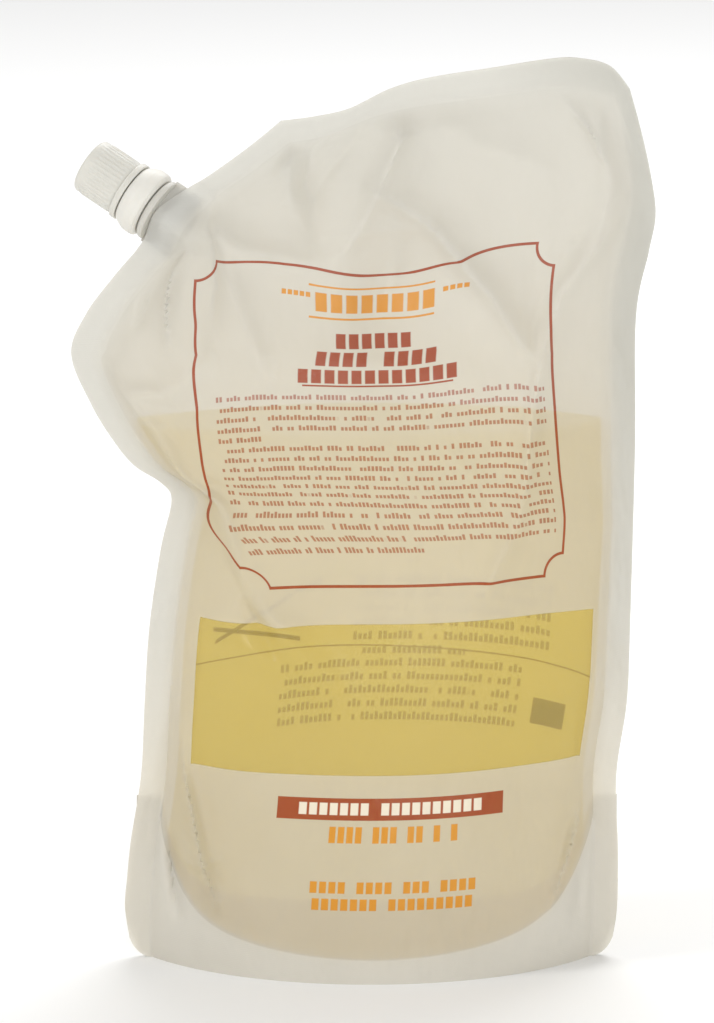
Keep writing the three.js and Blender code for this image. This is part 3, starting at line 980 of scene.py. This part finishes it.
@dataclass
class Web:
    """One of the two film webs."""

    side: Side
    name: str
    finish: Film
    gusset: "Gusset"
    seal_columns: int = 9
    web_columns: int = 150
    rows: int = 245
    top_rows: int = 10

    def stations(self, pouch: Pouch) -> tuple[np.ndarray, np.ndarray]:
        """The grid's places, with columns on the inner edges of the seals."""
        top_start = 1 - pouch.top_seal / pouch.web_height
        up = np.concatenate([np.linspace(0, top_start, self.rows),
                             np.linspace(top_start, 1, self.top_rows)[1:]])
        seal = np.linspace(0, 1, self.seal_columns + 1)
        middle = np.linspace(0, 1, self.web_columns + 1)
        part = pouch.seal_part(up)[:, None]
        across = np.concatenate([
            seal[None, :] * part,
            (part + (1 - 2 * part) * middle[None, :])[:, 1:],
            (1 - part + seal[None, :] * part)[:, 1:],
        ], axis=1)
        return across, np.broadcast_to(up[:, None], across.shape)

    def build(self, pouch: Pouch) -> bpy.types.Object:
        """Makes the web as a thin closed sheet."""
        across, up = self.stations(pouch)
        points = pouch.web(self.side, across, up)
        faces = grid_faces(*across.shape, flip=self.side is Side.BACK)
        obj = mesh_piece(self.name, points, faces.tolist())
        flat = pouch.flat(across, up)
        printed = pouch.printed(flat)
        add_map(obj, "flat", flat)
        add_map(obj, "print", printed)
        arc = self.gusset.arc_height(pouch.between(across, up))
        from_edge = pouch.from_edge(flat) - pouch.side_seal
        add_measure(obj, "from_seal", np.minimum(from_edge, flat[..., 1] - arc))
        self.finish.dress(obj, printed[..., 1].reshape(-1)[faces].mean(axis=1))
        return obj


@dataclass
class Gusset:
    """The folded bottom web: two legs against the webs and a dish between them.

    Attributes:
        arc_middle, arc_spread, arc_rise: the shape of the arc where it leaves the webs.
        flat_across, flat_deep: the parts of its width and depth that stand flat.
        unsealed: a distance from the seal that shows no seal, in millimetres.
    """

    finish: Film
    name: str = "gusset_film"
    unsealed: float = 40.0
    arc_middle: float = 7.5
    arc_spread: float = 11.0
    arc_rise: float = 25.5
    flat_across: float = 0.45
    flat_deep: float = 0.35
    columns: int = 150
    leg_rows: int = 8
    dish_rows: int = 44

    def arc_height(self, place: np.ndarray) -> np.ndarray:
        """The height of the line where the gusset leaves the webs."""
        spread = np.minimum(1, np.abs(place))
        return self.arc_middle + self.arc_spread * spread**2 + self.arc_rise * spread**8

    def floor_height(self, pouch: Pouch, place: np.ndarray) -> np.ndarray:
        """The height of the dish's middle line."""
        beyond = (np.minimum(1, np.abs(place)) - self.flat_across) / (1 - self.flat_across)
        return lerp(0.2, pouch.gusset_depth, np.clip(beyond, 0, 1) ** 2.5)

    def leg(self, pouch: Pouch, side: Side, across: np.ndarray, height: np.ndarray) -> np.ndarray:
        """A leg, one ply inside its web."""
        point = pouch.web(side, across, height / pouch.web_height)
        point[..., 1] -= side.value * 2 * pouch.ply
        return point

    def dish(self, pouch: Pouch, across: np.ndarray, part: np.ndarray) -> np.ndarray:
        """The dish: flat in the middle, rising to the arc. part is -1 in front and 1 behind."""
        place = pouch.between(across, np.zeros_like(across))
        arc = self.arc_height(place)
        front = self.leg(pouch, Side.FRONT, across, arc)
        back = self.leg(pouch, Side.BACK, across, arc)
        edge = np.where((part > 0)[..., None], back, front)
        rise = np.clip((np.abs(part) - self.flat_deep) / (1 - self.flat_deep), 0, 1) ** 2
        point = edge.copy()
        point[..., 1] = np.abs(part) * edge[..., 1]
        point[..., 2] = lerp(self.floor_height(pouch, place), edge[..., 2], rise)
        return point

    def build(self, pouch: Pouch) -> bpy.types.Object:
        """Makes the gusset as a thin closed sheet."""
        seal = pouch.seal_part(np.zeros(1))[0]
        between = np.linspace(seal, 1 - seal, self.columns)
        columns = np.concatenate([[0.0, seal / 2], between, [1 - seal / 2, 1.0]])
        across = np.broadcast_to(columns, (self.leg_rows, len(columns)))
        share = (np.arange(self.leg_rows) / self.leg_rows)[:, None]
        arc = self.arc_height(pouch.between(columns, np.zeros_like(columns)))
        front = self.leg(pouch, Side.FRONT, across, share * arc)
        back = self.leg(pouch, Side.BACK, across, share * arc)[::-1]
        parts = np.linspace(-1, 1, self.dish_rows)[:, None] * np.ones(len(columns))
        dish = self.dish(pouch, np.broadcast_to(columns, parts.shape), parts)
        points = np.concatenate([front, dish, back])
        obj = mesh_piece(self.name, points, grid_faces(*points.shape[:2], False).tolist())
        add_map(obj, "flat", points[..., :2])
        add_map(obj, "print", points[..., :2])
        add_measure(obj, "from_seal", np.full(points.shape[:2], self.unsealed))
        self.finish.dress(obj)
        return obj


@dataclass
class SoapFill:
    """The soap: between the webs, above the gusset's dish and below its level.

    Attributes:
        level: the height of its surface.
        inset, side_inset, deep_inset: how far inside the webs it stays: everywhere, at the
            sides as well, and as a part of its depth.
        clearance: how far above the dish it stays.
        reach: the part of the width between the side seals that it fills.
    """

    gusset: Gusset
    finish: Soap
    name: str = "soap_fill"
    level: float = 166.0
    inset: float = 0.45
    side_inset: float = 1.3
    deep_inset: float = 0.02
    clearance: float = 0.8
    reach: float = 0.95
    columns: int = 120
    side_rows: int = 90
    top_rows: int = 14
    dish_rows: int = 34

    @staticmethod
    def height_to_up(pouch: Pouch, side: Side, across: np.ndarray, height: np.ndarray) -> np.ndarray:
        """The place up the web where a column reaches a height."""
        up = height / pouch.web_height
        for _ in range(8):
            up = up + (height - pouch.web(side, across, up)[..., 2]) / pouch.web_height
        return up

    def wall(self, pouch: Pouch, side: Side, across: np.ndarray, height: np.ndarray) -> np.ndarray:
        """The soap's face against a web."""
        point = pouch.web(side, across, self.height_to_up(pouch, side, across, height))
        place = pouch.between(across, np.zeros_like(across))
        depth = np.abs(point[..., 1] - pouch.lean(point[..., ::2]))
        inset = self.inset + self.side_inset * place**4 + self.deep_inset * depth
        point[..., 1] -= side.value * np.minimum(inset, depth / 2)
        point[..., 2] = height
        return point

    def end_faces(self, rows: int) -> list[list[int]]:
        """The rows round each face of an end: a ladder of small faces between the two walls."""
        foot = 2 * self.side_rows + self.top_rows - 3
        ladder = [[row, row + 1, foot - row - 1, foot - row]
                  for row in range(1, self.side_rows - 2)]
        under_level = list(range(self.side_rows - 2, foot - self.side_rows + 3))
        over_dish = [0, 1, *range(foot - 1, rows)]
        return [over_dish, *ladder, under_level]

    def build(self, pouch: Pouch) -> bpy.types.Object:
        """Makes the soap as one closed body."""
        seal = pouch.seal_part(np.zeros(1))[0]
        place = self.reach * np.sin(np.linspace(-0.5, 0.5, self.columns) * np.pi)
        columns = lerp(seal, 1 - seal, (place + 1) / 2)
        low = self.gusset.arc_height(place) + self.clearance
        share = np.linspace(0, 1, self.side_rows)[:, None]
        height = lerp(low[None, :], self.level, share)
        across = np.broadcast_to(columns, height.shape)
        front = self.wall(pouch, Side.FRONT, across, height)
        back = self.wall(pouch, Side.BACK, across, height)[::-1]
        over = np.linspace(0, 1, self.top_rows)[1:-1, None, None]
        top = lerp(front[-1][None], back[0][None], over)
        parts = np.linspace(1, -1, self.dish_rows)[1:-1, None] * np.ones(self.columns)
        dish = self.gusset.dish(pouch, np.broadcast_to(columns, parts.shape), parts)
        dish[..., 2] += self.clearance
        points = np.concatenate([front, top, back, dish])
        rows = len(points)
        faces = grid_faces(rows, self.columns, False, closed=True).tolist()
        for face in self.end_faces(rows):
            faces.append([row * self.columns for row in face])
            faces.append([(row + 1) * self.columns - 1 for row in reversed(face)])
        obj = mesh_piece(self.name, points, faces)
        obj.data.materials.append(self.finish.material())
        shade_smooth(obj, 50.0)
        return obj


# ---------------------------------------------------------------- the spout and its cap


def spout_matrix(pouch: Pouch) -> Matrix:
    """The spout's frame: Z out along its axis, X along the film edge, origin on the film edge."""
    turn = next(j for j in frame["record"]["behaviour"]["joints"] if j["name"] == "cap_turn")
    axis = Vector(turn["axis"]).normalized()
    along = Vector((-pouch.spout_front[1], 0.0, pouch.spout_front[0])).normalized() * -1
    across = axis.cross(along).normalized()
    matrix = Matrix((along, across, axis)).transposed().to_4x4()
    matrix.translation = Vector(turn["pos_m"])
    return matrix


def enter_edit(obj: bpy.types.Object, pick: Callable[[Vector], bool] | None = None) -> None:
    """Enters edit mode with only the wanted points selected, or everything.

    Args:
        obj: the piece.
        pick: says whether a point, in metres, is wanted. None wants them all.
    """
    select_only(obj)
    for part in (*obj.data.vertices, *obj.data.edges, *obj.data.polygons):
        part.select = pick is None
    if pick is not None:
        for vertex in obj.data.vertices:
            vertex.select = pick(vertex.co)
    bpy.ops.object.mode_set(mode="EDIT")
    bpy.ops.mesh.select_mode(type="VERT")


def leave_edit(outward: bool = False) -> None:
    """Returns to object mode, after turning all faces outward if asked to."""
    if outward:
        bpy.ops.mesh.select_all(action="SELECT")
        bpy.ops.mesh.normals_make_consistent(inside=False)
    bpy.ops.object.mode_set(mode="OBJECT")


def ring_section(name: str, points: Sequence[Point]) -> bpy.types.Object:
    """A closed section in the XZ plane, from a circle primitive with its points moved.

    Args:
        name: the piece's name.
        points: (radius, height) in millimetres.
    """
    bpy.ops.mesh.primitive_circle_add(vertices=len(points), radius=0.01, fill_type="NOTHING")
    obj = bpy.context.active_object
    obj.name = obj.data.name = name
    for vertex, (radius, height) in zip(obj.data.vertices, points):
        vertex.co = (radius * MM, 0.0, height * MM)
    return obj


def spun(name: str, points: Sequence[Point], steps: int) -> bpy.types.Object:
    """A turned piece: a closed section spun about the Z axis."""
    obj = ring_section(name, points)
    enter_edit(obj)
    bpy.ops.mesh.spin(steps=steps, angle=2 * math.pi, center=(0, 0, 0), axis=(0, 0, 1))
    bpy.ops.mesh.select_all(action="SELECT")
    bpy.ops.mesh.remove_doubles(threshold=1e-6)
    bpy.ops.mesh.dissolve_degenerate(threshold=1e-7)
    leave_edit(outward=True)
    return obj


def rounded(points: Sequence[Point], radius: float, steps: int = 3) -> list[Point]:
    """A closed section with its corners rounded.

    Args:
        points: the section's corners. Corners on the axis stay sharp.
        radius: the rounding's reach along each side, in millimetres.
        steps: how many pieces each rounding has.
    """
    knots = [np.array(p, dtype=float) for p in points]
    made: list[Point] = []
    for k, corner in enumerate(knots):
        before, after = knots[k - 1], knots[(k + 1) % len(knots)]
        if corner[0] < 1e-6:
            made.append(tuple(corner))
            continue
        start, end = (corner + way * min(0.45, radius / max(1e-6, np.linalg.norm(way)))
                      for way in (before - corner, after - corner))
        for step in range(steps + 1):
            t = step / steps
            made.append(tuple(lerp(lerp(start, corner, t), lerp(corner, end, t), t)))
    return made


def finish_piece(obj: bpy.types.Object, matrix: Matrix, finish: Moulded) -> bpy.types.Object:
    """Puts a piece's mesh in its place, with its material and smooth shading."""
    obj.data.transform(matrix)
    obj.data.materials.clear()
    obj.data.materials.append(finish.material())
    shade_smooth(obj, 35.0)
    return obj


def cut_or_join(obj: bpy.types.Object, tool: bpy.types.Object, operation: str) -> None:
    """Joins a tool to a piece or cuts it away, and removes the tool."""
    apply_modifier(obj, "BOOLEAN", object=tool, operation=operation, solver="EXACT")
    bpy.data.objects.remove(tool, do_unlink=True)


@dataclass
class SpoutMoulding:
    """The welded base, the collar and the threaded neck, moulded as one."""

    finish: Moulded
    name: str = "spout_moulding"
    bore: float = 4.75
    boat_half_length: float = 10.5
    boat_half: float = 6.0
    boat_tip: float = 0.4
    boat_depth: float = 9.5
    collar: float = 9.8
    collar_bottom: float = 0.4
    collar_top: float = 2.7
    neck: float = 6.55
    neck_top: float = 23.9
    thread_pitch: float = 3.0
    thread_turns: int = 3
    steps: int = 96

    def boat(self) -> bpy.types.Object:
        """The boat-shaped base: a circle drawn out into a lens and extruded."""
        bpy.ops.mesh.primitive_circle_add(vertices=72, radius=0.01, fill_type="NGON")
        obj = bpy.context.active_object
        count = len(obj.data.vertices)
        for k, vertex in enumerate(obj.data.vertices):
            turn = 2 * math.pi * (k + 0.5) / count
            along = -math.cos(turn)
            crown = math.cos(math.pi / 2 * along) ** 2
            half = self.boat_tip + (self.boat_half - self.boat_tip) * crown
            vertex.co = (along * self.boat_half_length * MM, math.copysign(half, math.sin(turn)) * MM,
                         -self.boat_depth * MM)
        enter_edit(obj)
        rise = (self.boat_depth + self.collar_bottom + 0.4) * MM
        bpy.ops.mesh.extrude_region_move(TRANSFORM_OT_translate={"value": (0, 0, rise)})
        leave_edit(outward=True)
        return obj

    def thread(self) -> bpy.types.Object:
        """The screw thread: a small section carried round and up by a screw."""
        root, crest = self.neck - 0.25, self.neck + 0.22
        obj = ring_section("thread", [(root, 13.4), (crest, 13.9), (crest, 14.3), (root, 14.8)])
        apply_modifier(obj, "SCREW", angle=2 * math.pi, screw_offset=self.thread_pitch * MM,
                       iterations=self.thread_turns - 1, steps=self.steps, render_steps=self.steps,
                       use_merge_vertices=False)
        enter_edit(obj)
        bpy.ops.mesh.fill_holes(sides=8)
        leave_edit(outward=True)
        return obj

    def build(self, matrix: Matrix) -> bpy.types.Object:
        """Makes the spout moulding."""
        outer = rounded([
            (0, self.collar_bottom), (self.collar, self.collar_bottom),
            (self.collar, self.collar_top - 0.9), (self.collar - 0.9, self.collar_top),
            (self.neck, self.collar_top), (self.neck, 4.1), (7.4, 4.2), (self.neck, 5.7),
            (self.neck, self.neck_top), (0, self.neck_top),
        ], 0.35)
        obj = spun(self.name, outer, self.steps)
        cut_or_join(obj, self.boat(), "UNION")
        cut_or_join(obj, self.thread(), "UNION")
        bore = spun("bore", [
            (0, -12), (self.bore, -12), (self.bore, self.neck_top - 1.4), (5.7, self.neck_top + 0.02),
            (5.7, self.neck_top + 2), (0, self.neck_top + 2),
        ], self.steps)
        cut_or_join(obj, bore, "DIFFERENCE")
        return finish_piece(obj, matrix, self.finish)


@dataclass
class TamperRing:
    """The band left on the neck when the cap is first unscrewed, with its little bridges."""

    finish: Moulded
    name: str = "tamper_ring"
    radius: float = 10.6
    bottom: float = 3.0
    top: float = 10.3
    ledge: float = 8.9
    inner: float = 7.9
    lip: float = 7.15
    bridges: int = 8
    steps: int = 96

    def bridge(self, turn: float) -> bpy.types.Object:
        """One bridge stub on the band's upper edge."""
        bpy.ops.mesh.primitive_cube_add(size=1.0)
        obj = bpy.context.active_object
        enter_edit(obj)
        bpy.ops.transform.resize(value=(0.6 * MM, 1.1 * MM, 0.6 * MM))
        bpy.ops.transform.translate(value=(8.4 * MM, 0, self.top * MM))
        leave_edit()
        obj.data.transform(Matrix.Rotation(turn, 4, "Z"))
        return obj

    def build(self, matrix: Matrix) -> bpy.types.Object:
        """Makes the band."""
        section = rounded([
            (self.lip, self.bottom), (self.radius - 1.2, self.bottom),
            (self.radius - 0.2, self.bottom + 0.8), (self.radius, self.bottom + 1.8),
            (self.radius, self.top - 3.2), (self.radius - 0.35, self.top - 2.3),
            (self.radius - 1.5, self.top), (self.ledge, self.top),
            (self.ledge - 0.1, self.top + 0.3), (self.inner, self.top + 0.3),
            (self.inner, self.bottom + 1.1), (self.lip, self.bottom + 0.8),
        ], 0.3)
        obj = spun(self.name, section, self.steps)
        for k in range(self.bridges):
            cut_or_join(obj, self.bridge(2 * math.pi * k / self.bridges), "UNION")
        return finish_piece(obj, matrix, self.finish)


@dataclass
class ScrewCap:
    """The cap: a plain rim, a ribbed wall and a smooth rounded top."""

    finish: Moulded
    name: str = "screw_cap"
    bottom: float = 10.9
    length: float = 15.9
    radius: float = 8.6
    rib_out: float = 8.80
    rim: float = 9.4
    rim_height: float = 1.8
    bore: float = 7.15
    ceiling: float = 14.6
    ribs: int = 38
    rib_steps: int = 6

    def section(self) -> list[Point]:
        """The wall's section, from the foot of the bore over the top and back."""
        z = self.bottom
        shoulder = z + self.rim_height
        body = [(self.bore, z), (self.rim, z), (self.rim, shoulder), (self.radius, shoulder + 0.2)]
        body = rounded(body, 0.3)[4:]
        ribbed = [(self.radius, z + h) for h in (2.6, 3.4, 5.4, 7.8, 10.2, 12.4, 13.4)]
        top = z + self.length
        edge = [
            (self.radius - 1.5 * (1 - math.cos(t)), top - 1.5 * (1 - math.sin(t)))
            for t in np.linspace(0.15, math.pi / 2, 7)
        ]
        ceiling = z + self.ceiling
        inside = [(0, top), (0, ceiling), (self.bore - 0.5, ceiling), (self.bore, ceiling - 0.5)]
        return [(self.bore, z + 0.1), (self.bore + 0.15, z), *body, *ribbed, *edge, *inside]

    def build(self, matrix: Matrix) -> bpy.types.Object:
        """Makes the cap: spun, then with every rib drawn out of its wall."""
        obj = spun(self.name, self.section(), self.ribs * self.rib_steps)
        pitch = 2 * math.pi / self.ribs
        low, high = (self.bottom + 3.0) * MM, (self.bottom + 12.9) * MM

        def on_rib(co: Vector) -> bool:
            """Whether a point is on the crest of a rib."""
            if not (low < co.z < high and math.hypot(co.x, co.y) > (self.radius - 0.2) * MM):
                return False
            phase = (math.atan2(co.y, co.x) / pitch + 0.01) % 1.0
            return phase < 0.45

        enter_edit(obj, on_rib)
        grow = self.rib_out / self.radius
        bpy.ops.transform.resize(value=(grow, grow, 1.0), center_override=(0.0, 0.0, 0.0))
        leave_edit()
        return finish_piece(obj, matrix, self.finish)


# ---------------------------------------------------------------- the stage


@dataclass(frozen=True)
class Lamp:
    """A soft square light that faces the pack: place and size in metres, power in watts."""

    name: str
    place: tuple[float, float, float]
    size: float
    power: float
    aim: tuple[float, float, float] = (0.0, 0.0, 0.13)

    def build(self) -> None:
        """Makes the light."""
        data = bpy.data.lights.new(self.name, "AREA")
        data.size = self.size
        data.energy = self.power
        obj = bpy.data.objects.new(self.name, data)
        obj.location = self.place
        way = Vector(self.aim) - Vector(self.place)
        obj.rotation_euler = way.to_track_quat("-Z", "Y").to_euler()
        bpy.context.collection.objects.link(obj)


LAMPS = (
    Lamp("key_light", (-1.5, -0.75, 1.2), 0.4, 9.5),
    Lamp("low_light", (0.5, -1.6, 0.3), 0.9, 10.8),
    Lamp("back_light", (0.3, 1.2, 1.4), 1.2, 18.0),
)


@dataclass(frozen=True)
class Stage:
    """The floor, the lights and the camera."""

    elevation: float = 11.5
    turn: float = -0.6
    distance: float = 3.36
    target: tuple[float, float, float] = (-0.0042, 0.0, 0.1374)
    focal: float = 393.0
    floor_size: float = 30.0
    surround: float = 0.65

    def floor(self) -> None:
        """A wide pale floor."""
        bpy.ops.mesh.primitive_plane_add(size=self.floor_size)
        obj = bpy.context.active_object
        obj.name = "studio_floor"
        graph = Graph("studio_floor")
        cloud = graph.noise(graph.place(), 3.0, 2.0)
        colour = graph.blend(cloud, (0.92, 0.92, 0.915), (0.94, 0.94, 0.935))
        graph.set(Base_Color=colour, Roughness=0.9)
        obj.data.materials.append(graph.material)

    def camera(self) -> None:
        """The camera, a little above the pack and straight in front of it."""
        data = bpy.data.cameras.new("camera")
        data.lens = self.focal
        data.clip_start = 0.05
        obj = bpy.data.objects.new("camera", data)
        rise = math.radians(self.elevation)
        turn = math.radians(self.turn)
        level = math.cos(rise)
        back = Vector((math.sin(turn) * level, -math.cos(turn) * level, math.sin(rise)))
        obj.location = Vector(self.target) + back * self.distance
        obj.rotation_euler = (-back).to_track_quat("-Z", "Y").to_euler()
        bpy.context.collection.objects.link(obj)
        bpy.context.scene.camera = obj

    def build(self) -> None:
        """Makes the whole stage."""
        self.camera()
        self.floor()
        for lamp in LAMPS:
            lamp.build()
        world = bpy.data.worlds.new("studio")
        world.use_nodes = True
        background = world.node_tree.nodes["Background"]
        background.inputs["Color"].default_value = (1.0, 1.0, 1.0, 1.0)
        background.inputs["Strength"].default_value = self.surround
        bpy.context.scene.world = world
        bpy.context.scene.view_settings.view_transform = "Standard"


# ---------------------------------------------------------------- the whole pack


FRONT_CREASES = (
    Crease([(-4, 282), (-10, 262), (-14, 243), (-12, 226)], 7.0, -8.4),
    Crease([(9, 282), (12, 256), (6, 238), (-2, 222)], 6.0, 8.0, 1.6),
    Crease([(4, 240), (22, 228), (44, 205), (56, 186)], 5.5, 8.4, 1.6),
    Crease([(-30, 277), (-24, 258), (-19, 238)], 5.5, 5.3),
    Crease([(12, 226), (12, 210), (8, 188)], 14.0, -12.0, 0.4),
    Crease([(-55, 236), (-61, 224), (-66, 206)], 2.6, -6.0, 1.6),
    Crease([(-50, 238), (-55, 218), (-57, 200)], 2.8, 6.8, 1.6),
    Crease([(-46, 238), (-42, 216), (-44, 196)], 4.0, -4.0),
    Crease([(-44, 238), (-36, 214), (-30, 190)], 6.0, 6.0),
    Crease([(-52, 240), (-34, 227), (-14, 219)], 4.0, 3.6),
    Crease([(64, 262), (70, 254), (74, 244)], 2.2, 3.2, 2.0),
    Crease([(84, 234), (65, 205), (56, 176), (50, 150), (34, 118)], 7.0, 8.0, 1.6),
    Crease([(70, 226), (58, 196), (52, 170)], 5.0, -2.8),
    Crease([(72, 262), (76, 236), (68, 205)], 6.0, 4.0),
    Crease([(16, 274), (34, 252), (62, 238)], 9.0, 2.3),
    Crease([(-84, 200), (-72, 176), (-76, 152), (-58, 118), (-35, 103), (-22, 92)], 8.0, 9.2, 1.6),
    Crease([(-80, 186), (-62, 186), (-46, 196)], 6.0, 4.8),
    Crease([(-68, 130), (-54, 112), (-42, 98)], 5.0, -6.8, 1.6),
    Crease([(-64, 104), (-40, 96), (-18, 84)], 6.0, 4.0),
    Crease([(-80, 84), (-76, 62), (-66, 38), (-58, 22)], 3.4, 8.4, 2.0),
    Crease([(-86, 60), (-78, 40), (-72, 16)], 3.2, -6.3, 1.6),
    Crease([(-80, 44), (-70, 34), (-60, 36)], 4.0, 4.4, 1.6),
    Crease([(82, 74), (76, 46), (66, 20)], 3.2, 6.8, 1.8),
    Crease([(84, 56), (80, 36), (76, 14)], 3.0, -4.4),
    Crease([(80, 96), (74, 80), (74, 60)], 3.0, -2.8),
)
BACK_CREASES = (
    Crease([(-20, 272), (-8, 248), (6, 226)], 6.0, -2.6),
    Crease([(30, 270), (24, 244), (40, 214)], 6.0, 2.4),
    Crease([(-52, 234), (-44, 212), (-40, 190)], 5.0, 2.0),
    Crease([(-58, 228), (-64, 210), (-66, 192)], 3.0, -1.6),
    Crease([(82, 226), (60, 200), (48, 158), (40, 120)], 7.0, 2.2),
    Crease([(-82, 180), (-74, 152), (-58, 122), (-30, 100)], 8.0, 3.0),
    Crease([(-66, 130), (-54, 112), (-40, 98)], 5.0, -2.2),
    Crease([(-78, 60), (-70, 38), (-60, 22)], 4.0, 1.6),
    Crease([(78, 62), (72, 38), (62, 22)], 4.0, 1.5),
)


WHITE = Moulded("white_polyethylene", (0.66, 0.645, 0.585))
BAND = Moulded("band_polyethylene", (0.74, 0.72, 0.66))
NATURAL = Moulded("natural_polyethylene", (0.57, 0.555, 0.505), 0.42)
FOAM = Moulded("liner_foam", (0.83, 0.83, 0.81), 0.6)


def place_piece(obj: bpy.types.Object, body: str, slot: str, *nodes: str) -> None:
    """Says which body a piece moves with, and hides the parts that it stands for."""
    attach(obj, body)
    if nodes:
        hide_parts(*nodes)
    LOG.info("%s: %d faces on %s", obj.name, len(obj.data.polygons), body)


def front_film() -> Film:
    """The front web's film, with its frame, bars of print and clear strip."""
    middle = 4.5
    heading = (
        (Blocks(middle, 211.4, 40.5, 6.4, 8), Ink.ORANGE),
        (Blocks(-21.5, 213.4, 10.0, 1.7, 5), Ink.ORANGE),
        (Blocks(31.0, 213.4, 9.0, 1.7, 4), Ink.ORANGE),
    )
    title = (
        (Blocks(middle - 0.2, 199.2, 25.8, 4.6, 6), Ink.RED_BROWN),
        (Blocks(middle + 0.8, 193.5, 40.5, 4.6, 9, (4,)), Ink.RED_BROWN),
        (Blocks(middle + 1.4, 187.7, 52.8, 4.6, 12), Ink.RED_BROWN),
    )
    text = Words(middle + 1.1, 180.8, 107.0, 16, 3.355, 1.70, short=((4, 0.86), (15, 0.42)))
    foot = (
        (Blocks(5.4, 45.9, 49.0, 5.0, 15, (4, 8, 11, 13)), Ink.ORANGE),
        (Blocks(6.4, 29.8, 62.0, 3.6, 18, (4, 9, 13)), Ink.ORANGE),
        (Blocks(6.4, 24.6, 60.0, 3.6, 17, (7,)), Ink.ORANGE),
        (Blocks(3.8, 53.7, 70.0, 3.6, 18, (7,)), Ink.CREAM),
    )
    rules = (
        (Bar(3.4, 216.9, 41.5, 0.7), Ink.ORANGE),
        (Bar(3.4, 206.2, 41.5, 0.7), Ink.ORANGE),
        (Bar(6.0, 184.6, 49.0, 0.6), Ink.RED_BROWN),
    )
    frame_line = (NotchedFrame(3.9, 170.9, 116.4, 102.2, 6.5, 0.9), Ink.RED_BROWN)
    return Film(
        name="front_film",
        cover=0.77,
        window=(-73.0, 75.5, 63.6, 108.6),
        zones=(
            Zone(0.0, ((Bar(3.8, 53.6, 85.5, 6.6), Ink.RED_BROWN), *foot)),
            Zone(60.0, strip=True),
            Zone(114.0, ((text, Ink.RED_BROWN), frame_line)),
            Zone(183.2, (*heading, *title, *rules, frame_line)),
            Zone(230.0),
        ),
    )


def back_film() -> Film:
    """The back web's film, with print of its own and the same clear strip."""
    return Film(
        name="back_film",
        cover=0.86,
        glow=0.5,
        zones=(
            Zone(0.0),
            Zone(62.0, (
                (Words(24.0, 108.0, 74.0, 6, 4.4, 2.6, 1.9, short=((5, 0.42),)), Ink.BROWN),
                (Words(6.0, 82.0, 92.0, 5, 4.2, 2.5, 1.8), Ink.BROWN),
                (Bar(2.0, 87.0, 150.0, 0.5, -0.03), Ink.BROWN),
                (Bar(-46.0, 102.0, 40.0, 1.4, 0.35), Ink.BROWN),
                (Bar(-50.0, 95.0, 34.0, 1.4, -0.25), Ink.BROWN),
                (Bar(63.0, 70.0, 12.0, 8.0), Ink.BROWN),
            )),
            Zone(113.0),
        ),
    )


def main() -> None:
    """Builds the whole pack in order and reports each piece."""
    logging.basicConfig(level=logging.INFO, format="%(message)s")
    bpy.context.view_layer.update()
    Stage().build()
    pouch = Pouch(creases={Side.FRONT: FRONT_CREASES, Side.BACK: BACK_CREASES})
    gusset = Gusset(Film(name="gusset_film", cover=0.80, glow=0.0))
    back = Web(Side.BACK, "back_web", back_film(), gusset)
    front = Web(Side.FRONT, "front_web", front_film(), gusset)
    soap = SoapFill(gusset, Soap())
    place_piece(back.build(pouch), "pouch", "frosted_film", "back_panel")
    place_piece(gusset.build(pouch), "pouch", "gusset_film", "bottom_gusset")
    place_piece(soap.build(pouch), "pouch", "soap", "liquid_soap")
    place_piece(front.build(pouch), "pouch", "frosted_film", "front_panel")
    matrix = spout_matrix(pouch)
    place_piece(SpoutMoulding(NATURAL).build(matrix), "pouch", "spout_plastic", "spout")
    place_piece(TamperRing(BAND).build(matrix), "pouch", "cap_plastic", "tamper_band")
    place_piece(ScrewCap(WHITE).build(matrix), "cap", "cap_plastic", "cap")
    liner = frame["nodes"]["cap_liner"].data.materials
    liner.clear()
    liner.append(FOAM.material())


if __name__ == "__main__":
    main()
